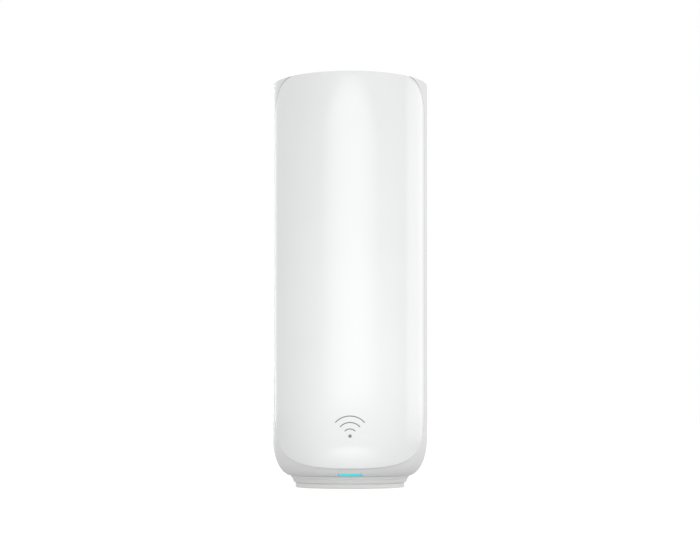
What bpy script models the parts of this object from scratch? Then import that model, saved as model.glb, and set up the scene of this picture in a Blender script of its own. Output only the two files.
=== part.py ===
"""Mesh wifi node: a slim round tower with a wrapped front panel, a tucked-in foot and a rear port bay.

Units are metres. +Z is up, the front faces -Y and the foot's underside is at Z = 0.
"""

import math

import bmesh
import bpy
from mathutils import Matrix, Vector

# Driving dimensions of the casing
HEIGHT = 0.250
BODY_RADIUS = 0.0476
DRAFT = 0.0008
WALL = 0.0024
GAP = 0.0003
SHOULDER_Z = 0.032
TUCK_HEIGHT = 0.0255
TUCK_DEPTH = 0.0142
TUCK_POWER = 2.3
LIP_Z = 0.0073
RIM_FILLET = 0.0008
WALL_STEPS = 7
WALL_LEAN = 0.0004
LEDGE_RADIUS = 0.0432
LEDGE_LOW_Z = 0.2440
LEDGE_HIGH_Z = 0.2457

# Front panel: an outline drawn on the unrolled cylinder
PANEL_HALF_ANGLE = math.radians(72.7)
PANEL_THICKNESS = 0.0020
PANEL_TUCK_DEPTH = 0.005
PANEL_CORNER = 0.0235
PANEL_CORNER_SHARE = PANEL_CORNER / (BODY_RADIUS * PANEL_HALF_ANGLE)
PANEL_SIDE_Z = 0.0482
PANEL_BELLY = 0.036
PANEL_BELLY_POWER = 2.7
PANEL_COLUMNS = 30
PANEL_ROWS = 9
SEAM = 0.00035

# Rear vents and top lid
VENT_COUNT = 8
VENT_LOW_Z = 0.0820
VENT_PITCH = 0.0052
VENT_HEIGHT = 0.0018
VENT_HALF_WIDTH = 0.014
CAP_RADIUS = 0.0456
CAP_LOW_Z = 0.2460
CAP_TOP_Z = 0.2482
CAP_DISH = 0.0008
CAP_FLAT_RADIUS = 0.0280
CAP_EDGE = 0.0004
CAP_SLOTS = 28
CAP_SLOT_CIRCLE = 0.0345
CAP_SLOT_SIZE = (0.012, 0.0022, 0.008)

# Base
BASE_TOP_Z = LIP_Z - GAP
BASE_BOTTOM_Z = 0.0030
BASE_SIDE = [(0.0363, 0.0063), (0.0353, 0.0051), (0.0349, 0.0039), (0.0346, BASE_BOTTOM_Z)]
BASE_TOP_RADIUS = 0.0367
BASE_FLOOR_Z = 0.0056
BASE_RIB_RADIUS = 0.0262
SPIGOT_RADIUS = 0.0346
SPIGOT_INNER_RADIUS = 0.0331
SPIGOT_TOP_Z = 0.0092
GROOVE_RADIUS = 0.0338
GROOVE_INNER_RADIUS = 0.0274
GROOVE_Z = 0.0046
FOOT_RADIUS = 0.0335
FOOT_INNER_RADIUS = 0.0277
FOOT_TOP_Z = 0.0042
FOOT_CHAMFER = 0.0004
SCREW_CIRCLE = 0.0306
SCREW_SEAT_Z = 0.0062
SCREW_SIDES = 12
INTAKE_SLOTS = 12
INTAKE_CIRCLE = 0.0195
INTAKE_SLOT_SIZE = (0.009, 0.0028, 0.006)
LABEL_HALF = (0.009, 0.006)
LABEL_LOW_Z = 0.0050
BALLAST_RADIUS = 0.0328
BALLAST_TOP_Z = 0.0101
CHASSIS_BASE_RADIUS = 0.0340
CHASSIS_BASE_TOP_Z = 0.0125
RING_INNER_RADIUS = 0.0245

# Screws: head radius, head height, shank radius and shank length
BASE_SCREW = (0.0024, 0.0013, 0.0010, 0.0060)
BOARD_SCREW = (0.0025, 0.0014, 0.0011, 0.0078)
BOARD_SCREW_SEAT_Y = 0.0039
BOARD_SCREW_X = 0.028
BOARD_SCREW_Z = (0.050, 0.190)

# Light bar
LIGHT_BAR_HALF_ANGLE = math.radians(9.9)
LIGHT_BAR_LOW_Z = 0.0077
LIGHT_BAR_HIGH_Z = 0.0090
LIGHT_BAR_INNER_RADIUS = 0.0363

# Rear port bay
BAY_HALF_WIDTH = 0.0230
BAY_LOW_Z = 0.0245
BAY_HIGH_Z = 0.0680
PORT_FACE_Y = 0.0410
PORT_PLATE = 0.0020
PORT_WALL = 0.0014
BACK_Y = 0.060
JACK_X = 0.0092
JACK_Z = 0.0440
JACK_WIDTH = 0.0162
JACK_HEIGHT = 0.0136
JACK_SHEET = 0.0005
JACK_MOUTH = ((-0.0060, 0.0265, -0.0034), (0.0060, 0.045, 0.0050))
JACK_LATCH = ((-0.0031, 0.0300, -0.0050), (0.0031, 0.045, -0.0030))
DC_Z = 0.0325
DC_HALF = 0.0046
DC_FACE_Y = 0.0387
DC_NOSE_RADIUS = 0.0042
DC_BORE_RADIUS = 0.0029
DC_BORE_Y = 0.0314
DC_PIN_RADIUS = 0.0010
DC_PIN_Y = 0.0395
SYNC_Z = 0.0585
RESET_X = 0.0130
PLUNGER_Y = 0.0270
SWITCH_FACE_Y = 0.0254

# Boards
MAIN_BOARD_Y = 0.0020
BOARD = 0.0016
BOARD_BACK_Y = MAIN_BOARD_Y + BOARD
IO_BOARD_Y = 0.0204
IO_BOARD_FACE_Y = IO_BOARD_Y + BOARD
BOARD_HALF_WIDTH = 0.0354
BOARD_LOW_Z = 0.0260
BOARD_HIGH_Z = 0.2240

# Heatsinks: half width, root, base thickness, fin tip, fin count and fin thickness
FRONT_FINS = (0.0300, -0.0020, -0.0030, -0.0230, 11, 0.0014)
FRONT_FINS_Z = (0.040, 0.200)
REAR_FINS = (0.0240, 0.0065, 0.0030, 0.0250, 9, 0.0014)
REAR_FINS_Z = (0.080, 0.200)

# Fan
FAN_SIDE = 0.050
FAN_LOW_Z = 0.0128
FAN_HEIGHT = 0.010
FAN_DUCT_RADIUS = 0.0225
FAN_BLADE_RADIUS = 0.0215
FAN_HUB_RADIUS = 0.0090
FAN_SHAFT_RADIUS = 0.0010
FAN_BLADES = 7
FAN_STRUT_SIZE = (0.0170, 0.0022, 0.0012)

# Antennas and the frame that carries them
ANTENNA_RADIUS = 0.0405
ANTENNA_COUNT = 6
ANTENNA_HALF_WIDTH = 0.007
ANTENNA_HALF_THICKNESS = 0.0004
ANTENNA_LOW_Z = 0.182
CARRIER_Z = 0.2280
CARRIER_THICKNESS = 0.002
CABLE_RADIUS = 0.0005
FEED_Z = 0.212
RAIL_NEAR = 0.0340
RAIL_FAR = 0.0380
RAIL_GROOVE = 0.0358
RAIL_HALF = 0.012

ROUND = 56
RING_ROUND = 40
MERGE = 0.00001

WHITE = (0.86, 0.87, 0.87)
PARTS = "mesh_wifi_node"
CUTTERS = "cutters"


# ---------------------------------------------------------------- helpers


def start_scene():
    """Empties the scene and makes the two collections."""
    for old in list(bpy.data.objects):
        bpy.data.objects.remove(old, do_unlink=True)
    for name in (PARTS, CUTTERS):
        if name not in bpy.data.collections:
            bpy.context.scene.collection.children.link(bpy.data.collections.new(name))


def material(name, colour, roughness, metallic=0.0):
    """A Principled material, made once for each name."""
    found = bpy.data.materials.get(name)
    if found:
        return found
    made = bpy.data.materials.new(name)
    made.use_nodes = True
    shader = made.node_tree.nodes["Principled BSDF"]
    shader.inputs["Base Color"].default_value = (*colour, 1.0)
    shader.inputs["Roughness"].default_value = roughness
    shader.inputs["Metallic"].default_value = metallic
    made.diffuse_color = (*colour, 1.0)
    return made


def shell_white():
    return material("shell_white", WHITE, 0.35)


def black_plastic():
    return material("black_plastic", (0.03, 0.03, 0.03), 0.5)


def aluminium():
    return material("aluminium", (0.75, 0.76, 0.77), 0.35, 1.0)


def steel():
    return material("steel", (0.62, 0.62, 0.63), 0.3, 1.0)


def board_green():
    return material("circuit_board", (0.03, 0.16, 0.09), 0.45)


def pad_grey():
    return material("thermal_pad", (0.45, 0.50, 0.56), 0.8)


def link(name, data, finish=None):
    """Adds an object: a part where it has a material, otherwise a cutter."""
    made = bpy.data.objects.new(name, data)
    bpy.data.collections[PARTS if finish else CUTTERS].objects.link(made)
    if finish:
        data.materials.append(finish)
    else:
        made.hide_render = True
        made.display_type = "WIRE"
    return made


def shade_by_angle(mesh):
    mesh.shade_smooth()
    mesh.set_sharp_from_angle(angle=math.radians(30))


def from_bmesh(name, bm, finish=None):
    bmesh.ops.recalc_face_normals(bm, faces=bm.faces)
    if bm.calc_volume(signed=True) < 0:
        bmesh.ops.reverse_faces(bm, faces=bm.faces)
    mesh = bpy.data.meshes.new(name)
    bm.to_mesh(mesh)
    bm.free()
    shade_by_angle(mesh)
    return link(name, mesh, finish)


def add_box(bm, low, high):
    """Adds a box from its lowest to its highest corner."""
    low, high = Vector(low), Vector(high)
    place = Matrix.Translation((low + high) / 2)
    scale = Matrix.Diagonal((*(high - low), 1.0))
    bmesh.ops.create_cube(bm, size=1.0, matrix=place @ scale)


def box(name, low, high, finish=None, edge=0.0):
    bm = bmesh.new()
    add_box(bm, low, high)
    made = from_bmesh(name, bm, finish)
    if edge:
        bevel = made.modifiers.new("edges", "BEVEL")
        bevel.width = edge
        bevel.segments = 1
    return made


def boxes(name, corners):
    """A cutter of several separate boxes."""
    bm = bmesh.new()
    for low, high in corners:
        add_box(bm, low, high)
    return from_bmesh(name, bm)


def along_y(x, z):
    """Turns a shape made about +Z so that it lies along +Y through (x, z)."""
    return Matrix.Translation((x, 0.0, z)) @ Matrix.Rotation(-math.pi / 2, 4, "X")


def at(x, y, z=0.0):
    return Matrix.Translation((x, y, z))


def cylinders(name, radius, low, high, places, segments=12, finish=None):
    """Cylinders from low to high along their own axis, one for each placing matrix."""
    bm = bmesh.new()
    for place in places:
        bmesh.ops.create_cone(
            bm,
            cap_ends=True,
            segments=segments,
            radius1=radius,
            radius2=radius,
            depth=high - low,
            matrix=place @ Matrix.Translation((0, 0, (low + high) / 2)),
        )
    return from_bmesh(name, bm, finish)


def turned(name, profile, finish=None, segments=ROUND, closed=True, place=None):
    """Turns a profile of (radius, height) points, outer side first and top to bottom."""
    bm = bmesh.new()
    points = [bm.verts.new((radius, 0.0, height)) for radius, height in profile]
    for first, second in zip(points, points[1:]):
        bm.edges.new((first, second))
    if closed:
        bm.edges.new((points[-1], points[0]))
    raw = bpy.data.meshes.new(name + "_profile")
    bm.to_mesh(raw)
    bm.free()
    guide = link(name + "_profile", raw)
    screw = guide.modifiers.new("turn", "SCREW")
    screw.steps = segments
    screw.render_steps = segments
    screw.use_merge_vertices = True
    screw.merge_threshold = MERGE
    mesh = solid_mesh(guide)
    bpy.data.objects.remove(guide, do_unlink=True)
    if place:
        mesh.transform(place)
    shade_by_angle(mesh)
    return link(name, mesh, finish)


def solid_mesh(source):
    """The evaluated mesh of an object, with its loose caps welded."""
    bpy.context.view_layer.update()
    graph = bpy.context.evaluated_depsgraph_get()
    mesh = bpy.data.meshes.new_from_object(source.evaluated_get(graph))
    bm = bmesh.new()
    bm.from_mesh(mesh)
    bmesh.ops.remove_doubles(bm, verts=bm.verts, dist=MERGE)
    bm.to_mesh(mesh)
    bm.free()
    return mesh


def cut(part, cutter, operation="DIFFERENCE"):
    boolean = part.modifiers.new(cutter.name, "BOOLEAN")
    boolean.operation = operation
    boolean.solver = "EXACT"
    boolean.object = cutter


def tube(name, points, radius, finish):
    """A thin round cable through its points."""
    curve = bpy.data.curves.new(name, "CURVE")
    curve.dimensions = "3D"
    spline = curve.splines.new("POLY")
    spline.points.add(len(points) - 1)
    for knot, point in zip(spline.points, points):
        knot.co = (*point, 1.0)
    curve.bevel_depth = radius
    curve.bevel_resolution = 2
    curve.use_fill_caps = True
    return link(name, curve, finish)


def extruded(name, outline, low, high, finish):
    """A flat XY outline extruded from low to high."""
    bm = bmesh.new()
    sheet = bm.faces.new([bm.verts.new((x, y, low)) for x, y in outline])
    raised = bmesh.ops.extrude_face_region(bm, geom=[sheet], use_keep_orig=True)["geom"]
    top = [item for item in raised if isinstance(item, bmesh.types.BMVert)]
    bmesh.ops.translate(bm, vec=(0, 0, high - low), verts=top)
    return from_bmesh(name, bm, finish)


def polar(radius, angle, z):
    """A point at an angle from the front, -Y, towards +X."""
    return Vector((radius * math.sin(angle), -radius * math.cos(angle), z))


# ---------------------------------------------------------------- casing shape


def tucked_radius(z, depth):
    """Outer radius at a height, drawn in under the shoulder by a superelliptical tuck."""
    if z >= SHOULDER_Z:
        return BODY_RADIUS + DRAFT * (z - SHOULDER_Z) / (HEIGHT - SHOULDER_Z)
    drop = (SHOULDER_Z - z) / TUCK_HEIGHT
    return BODY_RADIUS - depth * (1.0 - (1.0 - drop**TUCK_POWER) ** (1.0 / TUCK_POWER))


def body_radius(z):
    return tucked_radius(z, TUCK_DEPTH)


def panel_top(share):
    """Height of the panel's upper edge, with rounded corners near its sides."""
    corner = max(0.0, share - 1.0 + PANEL_CORNER_SHARE) / PANEL_CORNER_SHARE
    return HEIGHT - PANEL_CORNER * (1.0 - math.sqrt(max(0.0, 1.0 - corner * corner)))


def panel_bottom(share):
    """Height of the panel's lower edge, a wide belly curve."""
    inside = max(0.0, 1.0 - share**PANEL_BELLY_POWER)
    return PANEL_SIDE_Z - PANEL_BELLY * inside ** (1.0 / PANEL_BELLY_POWER)


def wrapped(name, half_angle, bottom, top, inner, outer, columns, rows, finish=None):
    """A block wrapped round the tower between two height curves and two radius curves."""
    bm = bmesh.new()
    grid = bmesh.ops.create_grid(bm, x_segments=columns, y_segments=rows, size=1.0)

    def spot(u, v, radius):
        share = math.sin(u * math.pi / 2)
        low = bottom(abs(share))
        z = low + (top(abs(share)) - low) * ((v + 1.0) / 2.0) ** 2
        return polar(radius(z), share * half_angle, z)

    plan = {vert: (vert.co.x, vert.co.y) for vert in grid["verts"]}
    back = bmesh.ops.extrude_face_region(bm, geom=list(bm.faces))["geom"]
    for vert in [item for item in back if isinstance(item, bmesh.types.BMVert)]:
        vert.co = spot(vert.co.x, vert.co.y, inner)
    for vert, (u, v) in plan.items():
        vert.co = spot(u, v, outer)
    return from_bmesh(name, bm, finish)


def front_panel():
    wrapped(
        "front_panel",
        PANEL_HALF_ANGLE,
        panel_bottom,
        panel_top,
        lambda z: body_radius(z) - PANEL_THICKNESS,
        lambda z: tucked_radius(z, PANEL_TUCK_DEPTH),
        columns=PANEL_COLUMNS,
        rows=PANEL_ROWS,
        finish=shell_white(),
    )


def light_bar_block(name, gap, finish=None):
    """The light bar's lens, or with a gap the notch that it sits in."""
    return wrapped(
        name,
        LIGHT_BAR_HALF_ANGLE + gap / BODY_RADIUS,
        lambda share: LIGHT_BAR_LOW_Z - 2 * gap,
        lambda share: LIGHT_BAR_HIGH_Z + gap,
        lambda z: LIGHT_BAR_INNER_RADIUS - 5 * gap,
        lambda z: body_radius(z) + 10 * gap,
        columns=8,
        rows=2,
        finish=finish,
    )


def rear_housing():
    """The round outer casing, open at the front for the panel and at the back for the ports."""
    quarter = [i / WALL_STEPS * math.pi / 2 for i in range(WALL_STEPS + 1)]
    turn = [LIP_Z + (SHOULDER_Z - LIP_Z) * (1 - math.sin(angle)) for angle in quarter]
    top = body_radius(HEIGHT)
    bend = RIM_FILLET * 0.3
    outer = [(top - RIM_FILLET, HEIGHT), (top - bend, HEIGHT - bend), (top, HEIGHT - RIM_FILLET)]
    outer += [(body_radius(z), z) for z in turn]
    inner = [(body_radius(LIP_Z) - WALL, LIP_Z)]
    for i in range(WALL_STEPS - 1, 0, -1):
        inner += [(body_radius(turn[i]) - WALL, turn[i] + WALL_LEAN * i / WALL_STEPS)]
    inner += [(BODY_RADIUS - WALL, SHOULDER_Z)]
    inner += [(top - WALL, LEDGE_LOW_Z), (LEDGE_RADIUS, LEDGE_LOW_Z + WALL_LEAN)]
    inner += [(LEDGE_RADIUS, LEDGE_HIGH_Z), (top - WALL, LEDGE_HIGH_Z), (top - WALL, HEIGHT)]
    made = turned("rear_housing", outer + inner, shell_white())
    window = wrapped(
        "panel_window",
        PANEL_HALF_ANGLE + SEAM / BODY_RADIUS,
        lambda share: panel_bottom(share) - SEAM,
        lambda share: panel_top(share) + SEAM,
        lambda z: body_radius(min(z, HEIGHT)) - WALL - WALL_LEAN,
        lambda z: BODY_RADIUS + PANEL_TUCK_DEPTH,
        columns=PANEL_COLUMNS,
        rows=PANEL_ROWS,
    )
    cut(made, window)
    cut(made, light_bar_block("light_bar_notch", GAP))
    near = PORT_FACE_Y - 0.003
    bay = [((-BAY_HALF_WIDTH, 0.030, BAY_LOW_Z), (BAY_HALF_WIDTH, BACK_Y, BAY_HIGH_Z))]
    vents = [VENT_LOW_Z + VENT_PITCH * i for i in range(VENT_COUNT)]
    slots = [((-VENT_HALF_WIDTH, near, z), (VENT_HALF_WIDTH, BACK_Y, z + VENT_HEIGHT)) for z in vents]
    cut(made, boxes("rear_cuts", bay + slots))


def slot_ring(name, count, phase, circle, size, z):
    """A cutter of boxes laid radially round the tower's axis."""
    bm = bmesh.new()
    for i in range(count):
        turn = Matrix.Rotation(2 * math.pi * (i + phase) / count, 4, "Z")
        place = turn @ at(circle, 0.0, z) @ Matrix.Diagonal((*size, 1.0))
        bmesh.ops.create_cube(bm, size=1.0, matrix=place)
    return from_bmesh(name, bm)


def top_cap():
    """A recessed lid with a ring of radial warm-air slots."""
    profile = [
        (0.0, CAP_TOP_Z - CAP_DISH),
        (CAP_FLAT_RADIUS, CAP_TOP_Z - CAP_DISH / 2),
        (CAP_RADIUS - CAP_EDGE, CAP_TOP_Z),
        (CAP_RADIUS, CAP_TOP_Z - CAP_EDGE),
        (CAP_RADIUS, CAP_LOW_Z),
        (0.0, CAP_LOW_Z),
    ]
    made = turned("top_cap", profile, shell_white(), closed=False)
    cut(made, slot_ring("top_slots", CAP_SLOTS, 0.0, CAP_SLOT_CIRCLE, CAP_SLOT_SIZE, CAP_LOW_Z))


# ---------------------------------------------------------------- base


def base_screw_places():
    return [
        at(SCREW_CIRCLE * math.cos(a), SCREW_CIRCLE * math.sin(a))
        for a in (math.radians(45 + 90 * i) for i in range(4))
    ]


def base_plate():
    """The bottom cover, with a groove for the foot and a ring of intake slots."""
    spigot = [
        (0.0, BASE_TOP_Z),
        (SPIGOT_INNER_RADIUS, BASE_TOP_Z),
        (SPIGOT_INNER_RADIUS, SPIGOT_TOP_Z),
        (SPIGOT_RADIUS, SPIGOT_TOP_Z),
        (SPIGOT_RADIUS, BASE_TOP_Z),
        (BASE_TOP_RADIUS, BASE_TOP_Z),
    ]
    underside = [
        (GROOVE_RADIUS, BASE_BOTTOM_Z),
        (GROOVE_RADIUS, GROOVE_Z),
        (GROOVE_INNER_RADIUS, GROOVE_Z),
        (GROOVE_INNER_RADIUS, BASE_BOTTOM_Z),
        (BASE_RIB_RADIUS, BASE_BOTTOM_Z),
        (BASE_RIB_RADIUS, BASE_FLOOR_Z),
        (0.0, BASE_FLOOR_Z),
    ]
    profile = spigot + BASE_SIDE + underside
    made = turned("base_plate", profile, shell_white(), segments=RING_ROUND, closed=False)
    cut(made, cylinders("base_screw_holes", 0.0013, 0.0, 0.0120, base_screw_places()))
    cut(made, cylinders("base_screw_sinks", 0.0028, 0.0, SCREW_SEAT_Z + 0.0001, base_screw_places()))
    slots = slot_ring("intake_slots", INTAKE_SLOTS, 0.5, INTAKE_CIRCLE, INTAKE_SLOT_SIZE, BASE_TOP_Z)
    cut(made, slots)


def foot_ring():
    """The soft ring that the tower stands on."""
    turned(
        "foot_ring",
        [
            (FOOT_RADIUS, FOOT_TOP_Z),
            (FOOT_RADIUS, FOOT_CHAMFER),
            (FOOT_RADIUS - FOOT_CHAMFER, 0.0),
            (FOOT_INNER_RADIUS + FOOT_CHAMFER, 0.0),
            (FOOT_INNER_RADIUS, FOOT_CHAMFER),
            (FOOT_INNER_RADIUS, FOOT_TOP_Z),
        ],
        material("foot_rubber", (0.72, 0.72, 0.70), 0.8),
        segments=RING_ROUND,
    )


def rating_label():
    """A blank plate on the underside."""
    x, y = LABEL_HALF
    finish = material("label", (0.8, 0.8, 0.8), 0.4)
    box("rating_label", (-x, -y, LABEL_LOW_Z), (x, y, LABEL_LOW_Z + GAP), finish)


def flat_ring(name, outer, inner, low, high, finish):
    """A flat ring about the tower's axis."""
    profile = [(outer, high), (outer, low), (inner, low), (inner, high)]
    return turned(name, profile, finish, segments=RING_ROUND)


def ballast_ring():
    low = BASE_TOP_Z + GAP
    made = flat_ring("ballast_ring", BALLAST_RADIUS, RING_INNER_RADIUS, low, BALLAST_TOP_Z, steel())
    cut(made, cylinders("ballast_holes", 0.0014, 0.0, 0.0120, base_screw_places()))


def chassis_base():
    low, radius = BALLAST_TOP_Z + GAP, CHASSIS_BASE_RADIUS
    made = flat_ring("chassis_base", radius, RING_INNER_RADIUS, low, CHASSIS_BASE_TOP_Z, black_plastic())
    cut(made, cylinders("chassis_holes", 0.0014, 0.0, 0.0140, base_screw_places()))


def screw(name, sizes, place):
    """A pan-head screw. Its head's seat is at height 0 and its shank runs up."""
    head_radius, head_height, shank_radius, shank = sizes
    made = turned(
        name,
        [
            (0.0, shank),
            (shank_radius * 0.6, shank),
            (shank_radius, shank - 0.0006),
            (shank_radius, 0.0),
            (head_radius, 0.0),
            (head_radius, -head_height * 0.6),
            (head_radius * 0.7, -head_height),
            (0.0, -head_height),
        ],
        steel(),
        segments=SCREW_SIDES,
        closed=False,
        place=place,
    )
    arm, width, depth = head_radius * 1.1, head_radius * 0.28, head_height
    for label, size in (("_slot_a", (arm, width)), ("_slot_b", (width, arm))):
        bm = bmesh.new()
        lump = Matrix.Translation((0, 0, -head_height)) @ Matrix.Diagonal((*size, depth, 1.0))
        bmesh.ops.create_cube(bm, size=1.0, matrix=place @ lump)
        cut(made, from_bmesh(name + label, bm))


def base_screws():
    for i, place in enumerate(base_screw_places(), 1):
        screw(f"screw_base_{i}", BASE_SCREW, place @ at(0, 0, SCREW_SEAT_Z))


# ---------------------------------------------------------------- light


def light_bar():
    light_bar_block("light_bar", 0.0, material("light_bar_cyan", (0.09, 0.78, 0.86), 0.3))


def light_guide():
    box(
        "light_guide",
        (-0.0045, -0.0357, 0.0080),
        (0.0045, -0.0349, 0.0150),
        material("clear_acrylic", (0.9, 0.95, 0.95), 0.1),
    )


def led_board():
    box("led_board", (-0.009, -0.0380, 0.0166), (0.009, -0.0270, 0.0178), board_green())
    for i, x in enumerate((-0.0032, 0.0, 0.0032), 1):
        box(
            f"status_led_{i}",
            (x - 0.0008, -0.0361, 0.0153),
            (x + 0.0008, -0.0348, 0.0163),
            material("led_package", (0.9, 0.9, 0.85), 0.4),
        )


# ---------------------------------------------------------------- port bay


def port_plate():
    """The rear port tray: a flat plate with walls that run out to the casing's surface."""
    low = (-BAY_HALF_WIDTH + GAP, PORT_FACE_Y - PORT_PLATE, BAY_LOW_Z + GAP)
    high = (BAY_HALF_WIDTH - GAP, 0.052, BAY_HIGH_Z - GAP)
    made = box("port_tray", low, high, material("port_tray", (0.78, 0.79, 0.79), 0.5))
    hollow = box(
        "port_tray_hollow",
        (low[0] + PORT_WALL, PORT_FACE_Y, low[2] + PORT_WALL),
        (high[0] - PORT_WALL, BACK_Y, high[2] - PORT_WALL),
    )
    cut(made, hollow)
    heights = (0.075, 0.032, 0.028, 0.024, 0.020)
    limit = [(0.0, heights[0])] + [(body_radius(z) - GAP, z) for z in heights]
    cut(made, turned("casing_limit", limit + [(0.0, heights[-1])], closed=False), "INTERSECT")
    half_width, half_height = JACK_WIDTH / 2 + GAP, JACK_HEIGHT / 2 + GAP
    openings = [
        ((x - half_width, 0.030, JACK_Z - half_height), (x + half_width, 0.045, JACK_Z + half_height))
        for x in (-JACK_X, JACK_X)
    ]
    cut(made, boxes("jack_openings", openings))
    for label, radius, x, z in (
        ("dc_opening", 0.0045, 0.0, DC_Z),
        ("sync_opening", 0.0037, 0.0, SYNC_Z),
        ("reset_opening", 0.0009, RESET_X, SYNC_Z),
    ):
        cut(made, cylinders(label, radius, 0.030, 0.045, [along_y(x, z)], segments=24))


def network_jack(number, x):
    """One network socket: a metal shield round a plastic insert with a stepped mouth."""
    half_width, half_height, back = JACK_WIDTH / 2, JACK_HEIGHT / 2, IO_BOARD_FACE_Y + GAP
    shield = box(
        f"network_shield_{number}",
        (x - half_width, back, JACK_Z - half_height),
        (x + half_width, PORT_FACE_Y - 0.0001, JACK_Z + half_height),
        steel(),
    )
    sleeve = box(
        f"network_shield_{number}_sleeve",
        (x - half_width + JACK_SHEET, back - 0.001, JACK_Z - half_height + JACK_SHEET),
        (x + half_width - JACK_SHEET, PORT_FACE_Y + 0.001, JACK_Z + half_height - JACK_SHEET),
    )
    cut(shield, sleeve)
    inset = JACK_SHEET + GAP
    insert = box(
        f"network_insert_{number}",
        (x - half_width + inset, back, JACK_Z - half_height + inset),
        (x + half_width - inset, PORT_FACE_Y - 0.0006, JACK_Z + half_height - inset),
        black_plastic(),
    )
    middle = Vector((x, 0.0, JACK_Z))
    for i, (low, high) in enumerate((JACK_MOUTH, JACK_LATCH)):
        cut(insert, box(f"network_mouth_{number}_{i}", middle + Vector(low), middle + Vector(high)))


def network_jacks():
    network_jack(1, -JACK_X)
    network_jack(2, JACK_X)


def power_inlet():
    """The barrel power inlet, with its centre pin."""
    low = (-DC_HALF, IO_BOARD_FACE_Y + GAP, DC_Z - DC_HALF)
    made = box("dc_inlet", low, (DC_HALF, DC_FACE_Y, DC_Z + DC_HALF), black_plastic())
    place, front = along_y(0, DC_Z), PORT_FACE_Y - 0.0001
    nose = cylinders("dc_nose", DC_NOSE_RADIUS, DC_FACE_Y - 0.0007, front, [place], segments=24)
    cut(made, nose, "UNION")
    bore = [
        (DC_BORE_RADIUS, 0.045),
        (DC_BORE_RADIUS, DC_BORE_Y),
        (DC_PIN_RADIUS, DC_BORE_Y),
        (DC_PIN_RADIUS, DC_PIN_Y),
        (0.0001, DC_PIN_Y + GAP),
        (0.0001, 0.045),
    ]
    cut(made, turned("dc_bore", bore, segments=24, place=place))


def buttons():
    """The sync button, the recessed reset plunger and the switches behind them."""
    turned(
        "sync_button",
        [
            (0.0, 0.0420),
            (0.0026, 0.0419),
            (0.0032, 0.0416),
            (0.0034, 0.0411),
            (0.0034, 0.0384),
            (0.0046, 0.0384),
            (0.0046, 0.0376),
            (0.0014, 0.0376),
            (0.0014, PLUNGER_Y),
            (0.0, PLUNGER_Y),
        ],
        shell_white(),
        segments=24,
        closed=False,
        place=along_y(0.0, SYNC_Z),
    )
    turned(
        "reset_button",
        [
            (0.0, 0.0384),
            (0.0011, 0.0384),
            (0.0011, 0.0370),
            (0.0020, 0.0370),
            (0.0020, 0.0360),
            (0.0011, 0.0360),
            (0.0011, PLUNGER_Y),
            (0.0, PLUNGER_Y),
        ],
        black_plastic(),
        segments=16,
        closed=False,
        place=along_y(RESET_X, SYNC_Z),
    )
    half, back = 0.003, IO_BOARD_FACE_Y + GAP
    for name, x in (("sync_switch", 0.0), ("reset_switch", RESET_X)):
        low, high = (x - half, back, SYNC_Z - half), (x + half, SWITCH_FACE_Y, SYNC_Z + half)
        switch = box(name, low, high, steel())
        root, tip = SWITCH_FACE_Y - 0.0004, SWITCH_FACE_Y + 0.0006
        cut(switch, cylinders(name + "_plunger", 0.0016, root, tip, [along_y(x, SYNC_Z)]), "UNION")


# ---------------------------------------------------------------- electronics


def board_screw_places():
    return [along_y(x, z) for x in (-BOARD_SCREW_X, BOARD_SCREW_X) for z in BOARD_SCREW_Z]


def main_board():
    made = box(
        "main_board",
        (-BOARD_HALF_WIDTH, MAIN_BOARD_Y, BOARD_LOW_Z),
        (BOARD_HALF_WIDTH, BOARD_BACK_Y, BOARD_HIGH_Z),
        board_green(),
    )
    cut(made, cylinders("main_board_holes", 0.0015, 0.0, 0.008, board_screw_places()))
    back = BOARD_BACK_Y + GAP
    box("processor", (-0.011, back, 0.120), (0.011, 0.0051, 0.142), black_plastic())
    box("io_board", (-0.0210, IO_BOARD_Y, 0.0262), (0.0210, IO_BOARD_FACE_Y, 0.0662), board_green())
    low, high = (-0.012, back, 0.060), (0.012, IO_BOARD_Y - GAP, 0.065)
    box("board_connector", low, high, black_plastic(), edge=0.0004)


def shield_cans():
    for i, (x, z) in enumerate(((-0.0135, 0.150), (0.0135, 0.150)), 1):
        low, high = (x - 0.011, -0.0007, z - 0.018), (x + 0.011, MAIN_BOARD_Y - GAP, z + 0.018)
        box(f"shield_can_{i}", low, high, steel(), edge=0.0003)
        low, high = (x - 0.009, -0.0017, z - 0.015), (x + 0.009, -0.0010, z + 0.015)
        box(f"thermal_pad_{i}", low, high, pad_grey())
    box("thermal_pad_3", (-0.010, 0.0054, 0.121), (0.010, 0.0062, 0.141), pad_grey())


def comb(half_width, root, base, tip, count, thickness):
    """The outline of a finned block whose fins run from root + base to tip."""
    pitch = (2 * half_width - thickness) / (count - 1)
    outline = [(-half_width, root)]
    for i in range(count):
        x = -half_width + pitch * i
        outline += [(x, tip), (x + thickness, tip)]
        if i < count - 1:
            outline += [(x + thickness, root + base), (x + pitch, root + base)]
    return outline + [(half_width, root)]


def heatsinks():
    """The finned front block, which the board's screws hold by its four posts, and the rear one."""
    front = extruded("heatsink_front", comb(*FRONT_FINS), *FRONT_FINS_Z, aluminium())
    posts = cylinders("heatsink_posts", 0.0028, -0.0040, MAIN_BOARD_Y - GAP, board_screw_places())
    cut(front, posts, "UNION")
    cut(front, cylinders("heatsink_holes", 0.0014, -0.0044, 0.008, board_screw_places()))
    extruded("heatsink_rear", comb(*REAR_FINS), *REAR_FINS_Z, aluminium())


def board_screws():
    flip = Matrix.Rotation(math.pi, 4, "X")
    for i, place in enumerate(board_screw_places(), 1):
        screw(f"screw_board_{i}", BOARD_SCREW, place @ at(0, 0, BOARD_SCREW_SEAT_Y) @ flip)


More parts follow.
